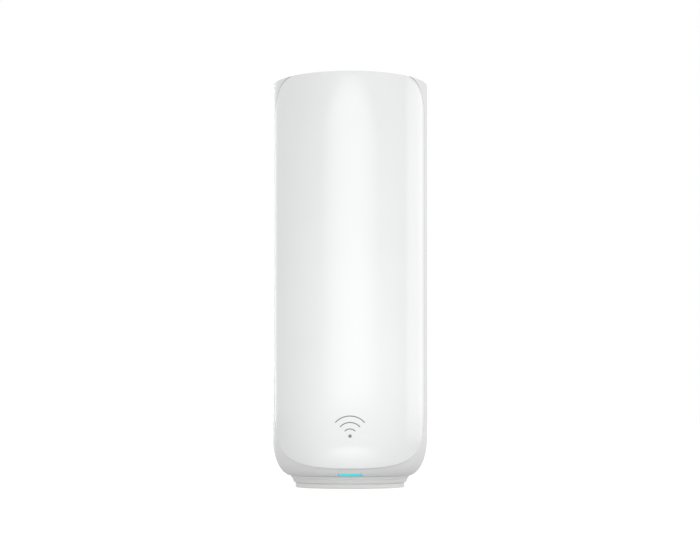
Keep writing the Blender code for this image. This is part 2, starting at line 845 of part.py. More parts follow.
def chassis_rails():
    """Two upright rails, each with a groove that the main board's edge slides into."""
    low, high = MAIN_BOARD_Y - GAP, BOARD_BACK_Y + GAP
    outline = [(RAIL_NEAR, -RAIL_HALF), (RAIL_FAR, -RAIL_HALF)]
    outline += [(RAIL_FAR, RAIL_HALF), (RAIL_NEAR, RAIL_HALF)]
    outline += [(RAIL_NEAR, high), (RAIL_GROOVE, high), (RAIL_GROOVE, low), (RAIL_NEAR, low)]
    for side, name in ((-1, "chassis_rail_left"), (1, "chassis_rail_right")):
        mirrored = [(side * x, y) for x, y in outline]
        extruded(name, mirrored, BOARD_LOW_Z, CARRIER_Z - GAP, black_plastic())


def antenna_carrier():
    top = CARRIER_Z + CARRIER_THICKNESS
    flat_ring("antenna_carrier", 0.0440, 0.0300, CARRIER_Z, top, black_plastic())


def antennas():
    """Flat radiators hung round the carrier, each with a thin feed cable."""
    for i in range(ANTENNA_COUNT):
        angle = 2 * math.pi * i / ANTENNA_COUNT
        bm = bmesh.new()
        half, thin = ANTENNA_HALF_WIDTH, ANTENNA_HALF_THICKNESS
        add_box(bm, (-half, -thin, ANTENNA_LOW_Z), (half, thin, CARRIER_Z - GAP))
        place = Matrix.Rotation(angle, 4, "Z") @ at(0, -ANTENNA_RADIUS)
        bmesh.ops.transform(bm, matrix=place, verts=bm.verts)
        from_bmesh(f"antenna_{i + 1}", bm, material("antenna_plate", (0.72, 0.55, 0.30), 0.35, 1.0))
        feed_cable(i + 1, angle)


def feed_cable(number, angle):
    """A cable from the main board's nearer face to the foot of one antenna's feed."""
    count, clear = 8, CABLE_RADIUS + GAP
    front = math.cos(angle) > 0
    face_y = MAIN_BOARD_Y - clear if front else BOARD_BACK_Y + clear
    start = Vector((0.018 * math.sin(angle), face_y, FEED_Z))
    middle = Vector((start.x, -0.012 if front else 0.016, FEED_Z + 0.006))
    end = polar(ANTENNA_RADIUS - ANTENNA_HALF_THICKNESS - clear, angle, FEED_Z)
    points = []
    for i in range(count + 1):
        t = i / count
        points.append(start * (1 - t) ** 2 + middle * (2 * t * (1 - t)) + end * t**2)
    grey = material("cable_grey", (0.25, 0.25, 0.26), 0.5)
    tube(f"antenna_cable_{number}", points, CABLE_RADIUS, grey)


# ---------------------------------------------------------------- fan


def fan_frame():
    half, high = FAN_SIDE / 2, FAN_LOW_Z + FAN_HEIGHT
    made = box("fan_frame", (-half, -half, FAN_LOW_Z), (half, half, high), black_plastic())
    cut(made, cylinders("fan_duct", FAN_DUCT_RADIUS, 0.010, 0.026, [at(0, 0)], segments=40))
    struts = bmesh.new()
    for i in range(3):
        turn = Matrix.Rotation(math.radians(30 + 120 * i), 4, "Z")
        size = Matrix.Diagonal((*FAN_STRUT_SIZE, 1.0))
        place = turn @ at(0.0155, 0, FAN_LOW_Z + FAN_STRUT_SIZE[2] / 2) @ size
        bmesh.ops.create_cube(struts, size=1.0, matrix=place)
    top = FAN_LOW_Z + FAN_STRUT_SIZE[2]
    hub = cylinders("fan_hub_seat", FAN_HUB_RADIUS, FAN_LOW_Z, top, [at(0, 0)], segments=24)
    cut(made, hub, "UNION")
    cut(made, from_bmesh("fan_struts", struts), "UNION")
    cut(made, cylinders("fan_bearing", 0.0012, 0.010, 0.016, [at(0, 0)]))


def fan_rotor():
    """The hub, its shaft and a ring of pitched blades."""
    low = FAN_LOW_Z + 0.0002
    seat = FAN_LOW_Z + 0.0016
    top = FAN_LOW_Z + FAN_HEIGHT - 0.0004
    profile = [
        (0.0, top),
        (FAN_HUB_RADIUS - 0.001, top),
        (FAN_HUB_RADIUS, top - 0.001),
        (FAN_HUB_RADIUS, seat),
        (FAN_SHAFT_RADIUS, seat),
        (FAN_SHAFT_RADIUS, low),
        (0.0, low),
    ]
    made = turned("fan_rotor", profile, black_plastic(), segments=28, closed=False)
    blades = bmesh.new()
    length = FAN_BLADE_RADIUS - FAN_HUB_RADIUS + 0.001
    middle = (seat + top) / 2
    for i in range(FAN_BLADES):
        turn = Matrix.Rotation(2 * math.pi * i / FAN_BLADES, 4, "Z")
        lean = Matrix.Rotation(math.radians(38), 4, "X")
        size = Matrix.Diagonal((length, 0.0100, 0.0009, 1.0))
        spot = at(FAN_HUB_RADIUS + length / 2 - 0.0015, 0.0, middle)
        bmesh.ops.create_cube(blades, size=1.0, matrix=turn @ spot @ lean @ size)
    cut(made, from_bmesh("fan_blades", blades), "UNION")


def main():
    start_scene()
    for build in (
        front_panel,
        rear_housing,
        top_cap,
        base_plate,
        foot_ring,
        rating_label,
        ballast_ring,
        chassis_base,
        base_screws,
        light_bar,
        light_guide,
        led_board,
        port_plate,
        network_jacks,
        power_inlet,
        buttons,
        main_board,
        shield_cans,
        heatsinks,
        board_screws,
        chassis_rails,
        antenna_carrier,
        antennas,
        fan_frame,
        fan_rotor,
    ):
        build()


main()
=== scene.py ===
"""Looks of the mesh wifi node: fine casing meshes, port details, materials, studio and camera."""

import math

import bmesh
import bpy
from mathutils import Matrix, Vector


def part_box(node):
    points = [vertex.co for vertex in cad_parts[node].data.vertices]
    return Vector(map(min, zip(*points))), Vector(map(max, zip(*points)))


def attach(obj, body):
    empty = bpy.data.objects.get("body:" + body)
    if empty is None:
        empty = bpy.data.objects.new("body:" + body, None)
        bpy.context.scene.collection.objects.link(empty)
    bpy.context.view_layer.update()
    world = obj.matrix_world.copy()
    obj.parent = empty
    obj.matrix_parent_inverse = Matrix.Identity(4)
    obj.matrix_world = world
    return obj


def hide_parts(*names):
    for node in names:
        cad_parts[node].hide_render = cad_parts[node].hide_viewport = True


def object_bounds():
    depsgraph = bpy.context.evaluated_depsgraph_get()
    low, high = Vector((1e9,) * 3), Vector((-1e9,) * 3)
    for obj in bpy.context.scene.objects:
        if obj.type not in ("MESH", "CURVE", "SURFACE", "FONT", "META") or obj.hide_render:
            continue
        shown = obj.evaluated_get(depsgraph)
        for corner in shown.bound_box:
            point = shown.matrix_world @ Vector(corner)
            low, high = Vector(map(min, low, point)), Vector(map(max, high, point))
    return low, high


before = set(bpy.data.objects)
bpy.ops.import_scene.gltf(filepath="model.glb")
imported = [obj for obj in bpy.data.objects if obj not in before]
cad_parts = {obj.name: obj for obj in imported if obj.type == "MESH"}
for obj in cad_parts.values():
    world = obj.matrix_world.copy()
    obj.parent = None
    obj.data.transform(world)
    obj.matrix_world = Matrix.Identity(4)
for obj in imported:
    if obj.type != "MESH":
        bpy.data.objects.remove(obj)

CAD_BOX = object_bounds()
BODY = "tower"

# Casing shape, as the CAD model has it
HEIGHT = CAD_BOX[1].z
RIM_RADIUS = CAD_BOX[1].x
DRAFT = 0.0008
BODY_RADIUS = RIM_RADIUS - DRAFT
WALL = 0.0024
SHOULDER_Z = 0.032
TUCK_HEIGHT = 0.0255
TUCK_DEPTH = 0.0142
TUCK_POWER = 2.3
LIP_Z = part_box("rear_housing")[0].z
PANEL_HALF_ANGLE = math.radians(72.7)
PANEL_HALF_ARC = BODY_RADIUS * PANEL_HALF_ANGLE
PANEL_THICKNESS = 0.0020
PANEL_TUCK_DEPTH = 0.005
PANEL_CORNER = 0.0235
PANEL_SIDE_Z = 0.0482
PANEL_BELLY = 0.036
PANEL_BELLY_POWER = 2.7
PANEL_SPINE_SHARES = (0.3, 0.72)
SEAM = 0.00035
CHIN_SEAM = 0.0001
CHIN_Z = 0.090
EDGE = 0.0005
TINY_EDGE = 0.0001
SMALL_EDGE = 0.0002
SOFT_EDGE = 0.0003
RIM_FILLET = 0.0008
LEDGE_LOW_Z = HEIGHT - 0.0056
LEDGE_HIGH_Z = HEIGHT - 0.0043
LEDGE_RADIUS = 0.0432
WALL_LEAN = 0.0004
WINDOW_WALL_GAP = 0.0006
LENS_RAISE = 0.00012

# Rear vents and the warm-air slots in the lid
VENT_COUNT = 8
VENT_LOW_Z = 0.0829
VENT_PITCH = 0.0052
VENT_LENGTH = 0.028
VENT_WIDTH = 0.0018
LID_SLOT_COUNT = 28
LID_SLOT_CIRCLE = 0.0345
LID_SLOT_LENGTH = 0.012
LID_SLOT_WIDTH = 0.0022
LID_DISH_RADIUS = 0.0280

# Base ring and foot: the base's side falls from its top edge through these (radius, z) steps
BASE_SIDE = ((0.0363, 0.0063), (0.0353, 0.0051), (0.0349, 0.0039))
BASE_SIDE_FILLET = 0.002
BASE_BOTTOM_RADIUS = 0.0346
BASE_COLLAR_RADIUS = 0.0331
BASE_GROOVE_OUTER = 0.0338
BASE_GROOVE_INNER = 0.0274
BASE_GROOVE_Z = 0.0046
BASE_HUB_RADIUS = 0.0262
BASE_HUB_Z = 0.0056
BASE_SLOT_COUNT = 12
BASE_SLOT_CIRCLE = 0.0195
BASE_SLOT_LENGTH = 0.009
BASE_SLOT_WIDTH = 0.0028
BASE_SLOT_Z = (0.0035, 0.0095)
SCREW_WELL_WIDTH = 0.0056
SCREW_WELL_Z = (0.0030, 0.0063)
FOOT_INNER_RADIUS = 0.0277

# Printed sign on the panel
SIGN_Z = 0.0315
SIGN_ARCS = (0.0042, 0.0080, 0.0118)
SIGN_HALF_ANGLE = math.radians(48)
SIGN_STROKE = 0.00058
SIGN_DOT = 0.0010
SIGN_LIFT = 0.00004

# Rear port bay: its tray, the network sockets, the power inlet and the two buttons
PORT_FACE_Y = 0.0410
PORT_CUT_Y = (0.030, 0.045)
PORT_OUTSIDE_Y = 0.060
TRAY_WALL = 0.0014
TRAY_BACK_Y = 0.052
TRAY_RECESS = 0.0003
TRAY_LIMIT_Z = (0.075, 0.032, 0.028, 0.024, 0.020)
JACK_SHEET = 0.0005
JACK_GAP = 0.0003
JACK_MOUTH_DEEP_Y = 0.0265
JACK_LATCH_DEEP_Y = 0.0300
JACK_CATCH_DEEP_Y = 0.0320
PIPE_ASIDE = 0.0052
PIPE_BELOW = 0.0047
PIPE_HALF_WIDTH = 0.0012
PIPE_HALF_HEIGHT = 0.0007
PIPE_LENGTH = 0.0030
PIPE_PROUD = 0.0002
CONTACT_COUNT = 8
CONTACT_PITCH = 0.00102
CONTACT_WIRE_RADIUS = 0.0002
CONTACT_BENDS = ((0.0390, 0.0046), (0.0370, 0.0044), (0.0325, 0.0026), (0.0290, 0.0012), (0.0275, 0.0014))
DC_FACE_Y = 0.0387
DC_BORE_Y = 0.0314
DC_NOSE_ROOT_Y = 0.0370
DC_NOSE_RADIUS = 0.0042
DC_BORE_RADIUS = 0.0029
DC_PIN_RADIUS = 0.0010
DC_PIN_TIP_Y = 0.0395
TRAY_HOLES = (("dc_inlet", 0.0045), ("sync_button", 0.0037), ("reset_button", 0.0009))
SYNC_RADIUS = 0.0034
SYNC_FLANGE_RADIUS = 0.0046
SYNC_FLANGE_Y = (0.0376, 0.0384)
SYNC_STEM_RADIUS = 0.0014
RESET_RADIUS = 0.0011
RESET_FLANGE_RADIUS = 0.0020
RESET_FLANGE_Y = (0.0360, 0.0370)

# How finely curves are drawn
ROUND = 288
HOLE_POINTS = 48
DOT_POINTS = 32
OUTLINE_POINTS = 220
SMOOTH_ANGLE = math.radians(38)


# ---------------------------------------------------------------- mesh helpers


def add_piece(name, bm, finish, body=BODY, replaces=(), angle=SMOOTH_ANGLE):
    """Turns a bmesh into a piece that rides on a body."""
    made = plain_object(name, bm, angle)
    made.data.materials.append(finish)
    settle(made, body, replaces)
    return made


def paint(made, finish):
    """Gives an object one material."""
    made.data.materials.clear()
    made.data.materials.append(finish)


def settle(made, body=BODY, replaces=()):
    """Tells the frame which body a piece rides on and the CAD nodes that it replaces."""
    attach(made, body)
    if replaces:
        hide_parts(*replaces)


def plain_object(name, bm, angle=SMOOTH_ANGLE):
    """An object from a bmesh, its faces pointing out and shaded smooth by angle."""
    bmesh.ops.recalc_face_normals(bm, faces=bm.faces)
    if bm.calc_volume(signed=True) < 0:
        bmesh.ops.reverse_faces(bm, faces=bm.faces)
    mesh = bpy.data.meshes.new(name)
    bm.to_mesh(mesh)
    bm.free()
    mesh.shade_smooth()
    mesh.set_sharp_from_angle(angle=angle)
    made = bpy.data.objects.new(name, mesh)
    bpy.context.scene.collection.objects.link(made)
    return made


def cut(target, cutter, operation="DIFFERENCE"):
    """Applies a Boolean and removes the cutter."""
    boolean = target.modifiers.new("cut", "BOOLEAN")
    boolean.operation = operation
    boolean.solver = "EXACT"
    boolean.object = cutter
    bpy.context.view_layer.update()
    graph = bpy.context.evaluated_depsgraph_get()
    result = bpy.data.meshes.new_from_object(target.evaluated_get(graph))
    target.modifiers.clear()
    target.data = result
    result.set_sharp_from_angle(angle=SMOOTH_ANGLE)
    bpy.data.objects.remove(cutter, do_unlink=True)
    return target


def bridge(bm, rings, closed=True):
    """Quads between neighbouring rings of vertices."""
    for ring, following in zip(rings, rings[1:]):
        count = len(ring)
        for i in range(count if closed else count - 1):
            j = (i + 1) % count
            corners = [ring[i], ring[j], following[j], following[i]]
            unique = list(dict.fromkeys(corners))
            if len(unique) > 2:
                bm.faces.new(unique)


def rounded(points, steps=5):
    """A closed polyline of (x, y, fillet radius), with its corners turned into arcs."""
    result = []
    count = len(points)
    for i, (x, y, radius) in enumerate(points):
        here = Vector((x, y))
        before = Vector(points[i - 1][:2]) - here
        after = Vector(points[(i + 1) % count][:2]) - here
        if radius <= 0 or before.length == 0 or after.length == 0:
            result.append((x, y))
            continue
        half = before.angle(after) / 2
        reach = min(radius / math.tan(half), before.length * 0.49, after.length * 0.49)
        radius = reach * math.tan(half)
        centre = here + (before.normalized() + after.normalized()).normalized() * (radius / math.sin(half))
        start = here + before.normalized() * reach - centre
        sweep = start.angle_signed(here + after.normalized() * reach - centre)
        for k in range(steps + 1):
            turn = Matrix.Rotation(-sweep * k / steps, 2)
            result.append(tuple(centre + turn @ start))
    return result


def revolve(profile, segments=ROUND):
    """A bmesh turned about Z from a closed list of (radius, z). Radii of 0 become single points."""
    bm = bmesh.new()
    rings = []
    for radius, z in profile:
        if radius < 1e-7:
            rings.append([bm.verts.new((0, 0, z))] * segments)
            continue
        ring = []
        for i in range(segments):
            a = 2 * math.pi * i / segments
            ring.append(bm.verts.new((radius * math.cos(a), radius * math.sin(a), z)))
        rings.append(ring)
    closed_loop = profile[0][0] > 1e-7
    bridge(bm, rings + ([rings[0]] if closed_loop else []))
    return bm


def prism(outline, low, high, axis="Z", fillet=0.0, steps=3):
    """A bmesh extruded from a closed 2D outline, along Z or along Y, with rounded rims if asked."""
    bm = bmesh.new()
    sections = [(low, 0.0), (high, 0.0)]
    if fillet:
        arc = [math.pi / 2 * k / steps for k in range(steps + 1)]
        sections = [(low + fillet * (1 - math.sin(a)), fillet * (1 - math.cos(a))) for a in reversed(arc)]
        sections += [(high - fillet * (1 - math.sin(a)), fillet * (1 - math.cos(a))) for a in arc]
    rings = []
    for height, inset in sections:
        ring = []
        for x, y in offset_loop(outline, -inset):
            ring.append(bm.verts.new((x, y, height) if axis == "Z" else (x, height, y)))
        rings.append(ring)
    bridge(bm, rings)
    bm.faces.new(rings[0])
    bm.faces.new(rings[-1])
    return bm


def offset_loop(points, distance):
    """A closed 2D loop moved outwards by a distance (inwards if it is negative)."""
    if not distance:
        return list(points)
    count = len(points)
    area = sum(
        points[i - 1][0] * points[i][1] - points[i][0] * points[i - 1][1] for i in range(count)
    )
    side = 1.0 if area > 0 else -1.0
    moved = []
    for i in range(count):
        along = Vector(points[(i + 1) % count]) - Vector(points[i - 1])
        if along.length < 1e-12:
            moved.append(points[i])
            continue
        along.normalize()
        out = Vector((along.y, -along.x)) * side
        moved.append(tuple(Vector(points[i]) + out * distance))
    return moved


def rounded_rectangle(half_width, half_height, radius, centre=(0.0, 0.0), steps=8):
    """A closed outline with four round corners."""
    x, y = centre
    corners = [(-1, -1), (1, -1), (1, 1), (-1, 1)]
    return rounded([(x + sx * half_width, y + sy * half_height, radius) for sx, sy in corners], steps)


def stadium(length, width, steps=8):
    """A round-ended slot outline lying along X."""
    return rounded_rectangle(length / 2, width / 2, width * 0.4999, steps=steps)


def resample(points, count):
    """Count + 1 points spaced evenly along an open polyline."""
    lengths = [0.0]
    for a, b in zip(points, points[1:]):
        lengths.append(lengths[-1] + (Vector(b) - Vector(a)).length)
    result, at = [], 0
    for i in range(count + 1):
        goal = lengths[-1] * i / count
        while at < len(lengths) - 2 and lengths[at + 1] < goal:
            at += 1
        share = (goal - lengths[at]) / (lengths[at + 1] - lengths[at])
        result.append(tuple(Vector(points[at]).lerp(Vector(points[at + 1]), share)))
    return result


def polar(radius, angle, z):
    """A point at an angle from the front, -Y, towards +X."""
    return Vector((radius * math.sin(angle), -radius * math.cos(angle), z))


def joined(*parts):
    """One bmesh out of several."""
    whole = bmesh.new()
    for part in parts:
        mesh = bpy.data.meshes.new("part")
        part.to_mesh(mesh)
        part.free()
        whole.from_mesh(mesh)
        bpy.data.meshes.remove(mesh)
    return whole


# ---------------------------------------------------------------- casing shape


def tucked_radius(z, depth):
    """The casing's radius at a height: a slight draft above the shoulder, a rounded tuck below it."""
    if z >= SHOULDER_Z:
        return BODY_RADIUS + DRAFT * (z - SHOULDER_Z) / (HEIGHT - SHOULDER_Z)
    drop = min(0.999, (SHOULDER_Z - z) / TUCK_HEIGHT)
    return BODY_RADIUS - depth * (1.0 - (1.0 - drop**TUCK_POWER) ** (1.0 / TUCK_POWER))


def body_radius(z):
    return tucked_radius(z, TUCK_DEPTH)


def panel_radius(z):
    return tucked_radius(z, PANEL_TUCK_DEPTH)


def panel_outline(belly_steps=120, corner_steps=60):
    """The panel's edge on the unrolled cylinder, as a closed loop of (arc, z)."""
    half = []
    power = 2.0 / PANEL_BELLY_POWER
    for k in range(belly_steps + 1):
        a = math.pi / 2 * k / belly_steps
        belly = math.cos(a) ** power if k < belly_steps else 0.0
        half.append((PANEL_HALF_ARC * math.sin(a) ** power, PANEL_SIDE_Z - PANEL_BELLY * belly))
    for k in range(corner_steps + 1):
        a = math.pi / 2 * k / corner_steps
        x = PANEL_HALF_ARC - PANEL_CORNER * (1 - math.cos(a))
        half.append((x, HEIGHT - PANEL_CORNER * (1 - math.sin(a))))
    half.append((0.0, HEIGHT))
    half = resample(half, OUTLINE_POINTS)
    return half[:-1] + [(-x, z) for x, z in reversed(half[1:])]


def wrap(arc, z, radius):
    """A point given by its arc on the unrolled cylinder."""
    return polar(radius, arc / BODY_RADIUS, z)


def window_outline():
    """The panel's outline with a clearance, which closes up towards the chin."""
    wide = offset_loop(panel_outline(), SEAM)
    snug = offset_loop(panel_outline(), CHIN_SEAM)
    shares = [min(1.0, z / CHIN_Z) ** 2 for _, z in snug]
    return [tuple(Vector(a).lerp(Vector(b), share)) for a, b, share in zip(snug, wide, shares)]


def wrapped_plate(outline, inner, outer, fillet, flare=False, back_steps=10, face_steps=48, rim_steps=5):
    """A plate wrapped round the tower, with its outline on the unrolled cylinder.
    Its outer rim is rounded inwards, or outwards if it flares. Its faces close in on an upright spine."""
    bm = bmesh.new()
    spine_low, spine_high = (HEIGHT * share for share in PANEL_SPINE_SHARES)

    def ring(inset, radius_of, depth):
        loop = offset_loop(outline, -inset)
        return [bm.verts.new(wrap(s, z, radius_of(min(z, HEIGHT)) + depth)) for s, z in loop]

    def towards_spine(inset, radius_of, share):
        made = []
        for s, z in offset_loop(outline, -inset):
            middle = min(spine_high, max(spine_low, z))
            z = middle + (z - middle) * share
            made.append(bm.verts.new(wrap(s * share, z, radius_of(min(z, HEIGHT)))))
        return made

    def cover(inset, radius_of, steps):
        return [towards_spine(inset, radius_of, 1 - k / steps) for k in range(1, steps + 1)]

    rings = list(reversed(cover(0.0, inner, back_steps))) + [ring(0.0, inner, 0.0)]
    arc = [math.pi / 2 * k / rim_steps for k in range(rim_steps + 1)]
    way = -1.0 if flare else 1.0
    rings += [ring(way * fillet * (1 - math.cos(a)), outer, -fillet * (1 - math.sin(a))) for a in arc]
    if flare:
        beyond = lambda z: outer(z) + 0.004
        rings.append(ring(-fillet, beyond, 0.0))
        rings += cover(-fillet, beyond, back_steps)
    else:
        rings += cover(fillet, outer, face_steps)
    bridge(bm, rings)
    bmesh.ops.remove_doubles(bm, verts=bm.verts, dist=1e-6)
    bmesh.ops.holes_fill(bm, edges=bm.edges, sides=0)
    return bm


# ---------------------------------------------------------------- materials


def new_material(name):
    """A material with its nodes, its links and its shader."""
    made = bpy.data.materials.new(name)
    made.use_nodes = True
    return made, made.node_tree.nodes, made.node_tree.links, made.node_tree.nodes["Principled BSDF"]


def noise(nodes, links, scale, detail=2.0, roughness=0.5):
    """A noise texture in object space, whose unit is the metre."""
    place = nodes.new("ShaderNodeTexCoord")
    made = nodes.new("ShaderNodeTexNoise")
    made.inputs["Scale"].default_value = scale
    made.inputs["Detail"].default_value = detail
    made.inputs["Roughness"].default_value = roughness
    links.new(place.outputs["Object"], made.inputs["Vector"])
    return made


def spread(nodes, links, source, low, high):
    """Maps a 0.3 to 0.7 signal onto low to high."""
    made = nodes.new("ShaderNodeMapRange")
    made.inputs["From Min"].default_value = 0.3
    made.inputs["From Max"].default_value = 0.7
    made.inputs["To Min"].default_value = low
    made.inputs["To Max"].default_value = high
    links.new(source, made.inputs["Value"])
    return made.outputs["Result"]


def blend_colours(nodes, links, source, first, second):
    """Mixes two colours by a 0 to 1 signal."""
    made = nodes.new("ShaderNodeMix")
    made.data_type = "RGBA"
    made.inputs["A"].default_value = (*first, 1.0)
    made.inputs["B"].default_value = (*second, 1.0)
    links.new(source, made.inputs["Factor"])
    return made.outputs["Result"]


def add_bump(nodes, links, shader, source, distance, strength):
    """Roughens a shader's surface by a height signal."""
    bump = nodes.new("ShaderNodeBump")
    bump.inputs["Distance"].default_value = distance
    bump.inputs["Strength"].default_value = strength
    links.new(source, bump.inputs["Height"])
    links.new(bump.outputs["Normal"], shader.inputs["Normal"])


def plastic(name, colour, roughness, grain, grain_depth, tint=0.012, coat=0.0, ior=1.5):
    """Moulded plastic: faint cloudy colour, uneven gloss and a fine moulded grain."""
    made, nodes, links, shader = new_material(name)
    clouds = noise(nodes, links, 22.0, 3.0)
    duller = tuple(c * (1 - tint * 2) for c in colour)
    share = spread(nodes, links, clouds.outputs["Fac"], 0.0, 1.0)
    links.new(blend_colours(nodes, links, share, colour, duller), shader.inputs["Base Color"])
    fine = noise(nodes, links, grain, 4.0, 0.6)
    gloss = spread(nodes, links, fine.outputs["Fac"], roughness * 0.93, roughness * 1.07)
    links.new(gloss, shader.inputs["Roughness"])
    add_bump(nodes, links, shader, fine.outputs["Fac"], grain_depth, 0.35)
    shader.inputs["IOR"].default_value = ior
    shader.inputs["Coat Weight"].default_value = coat
    shader.inputs["Coat Roughness"].default_value = 0.2
    return made


def metal(name, colour, roughness, stretch=(1.0, 1.0, 30.0), depth=0.00002):
    """Metal with fine drawn lines."""
    made, nodes, links, shader = new_material(name)
    place = nodes.new("ShaderNodeTexCoord")
    lay = nodes.new("ShaderNodeMapping")
    lay.inputs["Scale"].default_value = stretch
    lines = nodes.new("ShaderNodeTexNoise")
    lines.inputs["Scale"].default_value = 160.0
    lines.inputs["Detail"].default_value = 4.0
    links.new(place.outputs["Object"], lay.inputs["Vector"])
    links.new(lay.outputs["Vector"], lines.inputs["Vector"])
    shader.inputs["Base Color"].default_value = (*colour, 1.0)
    shader.inputs["Metallic"].default_value = 1.0
    gloss = spread(nodes, links, lines.outputs["Fac"], roughness * 0.8, roughness * 1.2)
    links.new(gloss, shader.inputs["Roughness"])
    add_bump(nodes, links, shader, lines.outputs["Fac"], depth, 0.4)
    return made


def circuit_board():
    """Solder mask with a faint pattern of copper tracks under it."""
    made, nodes, links, shader = new_material("circuit_board_tracks")
    place = nodes.new("ShaderNodeTexCoord")
    bricks = nodes.new("ShaderNodeTexBrick")
    bricks.inputs["Scale"].default_value = 90.0
    bricks.inputs["Mortar Size"].default_value = 0.03
    bricks.inputs["Color1"].default_value = (0.012, 0.11, 0.05, 1.0)
    bricks.inputs["Color2"].default_value = (0.015, 0.14, 0.065, 1.0)
    bricks.inputs["Mortar"].default_value = (0.03, 0.22, 0.10, 1.0)
    turn = nodes.new("ShaderNodeMapping")
    turn.inputs["Rotation"].default_value = (math.pi / 2, 0.0, 0.0)
    links.new(place.outputs["Object"], turn.inputs["Vector"])
    links.new(turn.outputs["Vector"], bricks.inputs["Vector"])
    links.new(bricks.outputs["Color"], shader.inputs["Base Color"])
    shader.inputs["Roughness"].default_value = 0.38
    add_bump(nodes, links, shader, bricks.outputs["Fac"], 0.00004, 0.5)
    return made


def lit_lens():
    """The light bar: an even cyan glow with a satin face."""
    made, nodes, links, shader = new_material("lit_cyan_lens")
    cloud = noise(nodes, links, 260.0, 1.0)
    shader.inputs["Base Color"].default_value = (0.02, 0.12, 0.13, 1.0)
    shader.inputs["Roughness"].default_value = 0.5
    shader.inputs["Specular IOR Level"].default_value = 0.2
    shader.inputs["Emission Color"].default_value = (0.06, 0.69, 0.76, 1.0)
    glow = spread(nodes, links, cloud.outputs["Fac"], 0.93, 1.0)
    links.new(glow, shader.inputs["Emission Strength"])
    return made


PANEL_WHITE = plastic("panel_white_satin", (0.745, 0.75, 0.75), 0.08, 900.0, 0.00001, ior=1.6)
SHELL_WHITE = plastic("shell_white_satin", (0.71, 0.715, 0.71), 0.46, 2600.0, 0.00005)
BASE_WHITE = plastic("base_white_satin", (0.745, 0.75, 0.74), 0.5, 2600.0, 0.00005)
TOP_WHITE = plastic("top_white_matte", (0.78, 0.79, 0.785), 0.55, 2600.0, 0.00006)
FOOT_GREY = plastic("foot_soft_rubber", (0.81, 0.81, 0.795), 0.8, 3200.0, 0.00008)
TRAY_GREY = plastic("tray_fine_grain", (0.70, 0.71, 0.705), 0.6, 3800.0, 0.00008)
BUTTON_WHITE = plastic("button_white", (0.80, 0.81, 0.805), 0.35, 1400.0, 0.00002)
BLACK = plastic("black_moulded", (0.02, 0.02, 0.021), 0.5, 3000.0, 0.00005)
CABLE_GREY = plastic("cable_jacket", (0.10, 0.10, 0.105), 0.55, 2000.0, 0.00003)
PAD_BLUE = plastic("thermal_putty", (0.30, 0.36, 0.44), 0.85, 1500.0, 0.0001)
LABEL_GREY = plastic("blank_label", (0.62, 0.63, 0.63), 0.4, 2400.0, 0.00001)
ACRYLIC = plastic("acrylic_guide", (0.80, 0.88, 0.90), 0.08, 600.0, 0.00001, coat=0.5)
LED_CREAM = plastic("led_ceramic", (0.78, 0.76, 0.62), 0.45, 2600.0, 0.00003)
MARK_GREY = plastic("mark_grey_ink", (0.17, 0.18, 0.185), 0.4, 2600.0, 0.00001)
GREEN_PIPE = plastic("light_pipe_green", (0.20, 0.42, 0.22), 0.15, 1200.0, 0.00001, coat=0.4)
AMBER_PIPE = plastic("light_pipe_amber", (0.62, 0.38, 0.10), 0.15, 1200.0, 0.00001, coat=0.4)
STEEL = metal("brushed_steel_lines", (0.55, 0.56, 0.57), 0.32)
ALUMINIUM = metal("extruded_aluminium", (0.74, 0.75, 0.76), 0.38, (30.0, 30.0, 1.0))
BRASS = metal("stamped_brass", (0.72, 0.52, 0.26), 0.3)
GOLD = metal("gold_contact", (0.90, 0.66, 0.24), 0.2)
BOARD = circuit_board()
CYAN = lit_lens()

NODE_FINISHES = (
    ("antenna_cable", CABLE_GREY),
    ("antenna_carrier", BLACK),
    ("antenna", BRASS),
    ("ballast", STEEL),
    ("heatsink", ALUMINIUM),
    ("main_board", BOARD),
    ("io_board", BOARD),
    ("led_board", BOARD),
    ("thermal_pad", PAD_BLUE),
    ("screw", STEEL),
    ("shield_can", STEEL),
    ("network_shield", STEEL),
    ("sync_switch", STEEL),
    ("reset_switch", STEEL),
    ("light_guide", ACRYLIC),
    ("status_led", LED_CREAM),
    ("rating_label", LABEL_GREY),
)


def finish_carried_nodes():
    """Gives each CAD node that stays in view a procedural material."""
    for name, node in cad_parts.items():
        finish = next((made for start, made in NODE_FINISHES if name.startswith(start)), BLACK)
        paint(node, finish)


# ---------------------------------------------------------------- casing pieces


def make_front_panel():
    """The glossy panel on the casing's front."""
    bm = wrapped_plate(panel_outline(), lambda z: body_radius(z) - PANEL_THICKNESS, panel_radius, EDGE)
    add_piece("panel_skin", bm, PANEL_WHITE, replaces=["front_panel"])


def housing_profile():
    """The casing's wall in section, its outer side first."""
    steps = 40
    quarter = [i / steps * math.pi / 2 for i in range(steps + 1)]
    turn = [LIP_Z + (SHOULDER_Z - LIP_Z) * (1 - math.sin(angle)) for angle in quarter]
    rim_inside = RIM_RADIUS - WALL
    points = [(rim_inside, HEIGHT, EDGE), (RIM_RADIUS, HEIGHT, RIM_FILLET)]
    points += [(body_radius(z), z, 0.0) for z in turn[:-1]]
    points += [(body_radius(LIP_Z), LIP_Z, TINY_EDGE), (body_radius(LIP_Z) - WALL, LIP_Z, SOFT_EDGE)]
    points += [(body_radius(z) - WALL, z + WALL_LEAN, 0.0) for z in reversed(turn[1:-1])]
    points += [(BODY_RADIUS - WALL, SHOULDER_Z + WALL_LEAN, 0.0)]
    points += [(rim_inside, LEDGE_LOW_Z, 0.0), (LEDGE_RADIUS, LEDGE_LOW_Z + WALL_LEAN, SMALL_EDGE)]
    points += [(LEDGE_RADIUS, LEDGE_HIGH_Z, SMALL_EDGE), (rim_inside, LEDGE_HIGH_Z, 0.0)]
    return rounded(points)


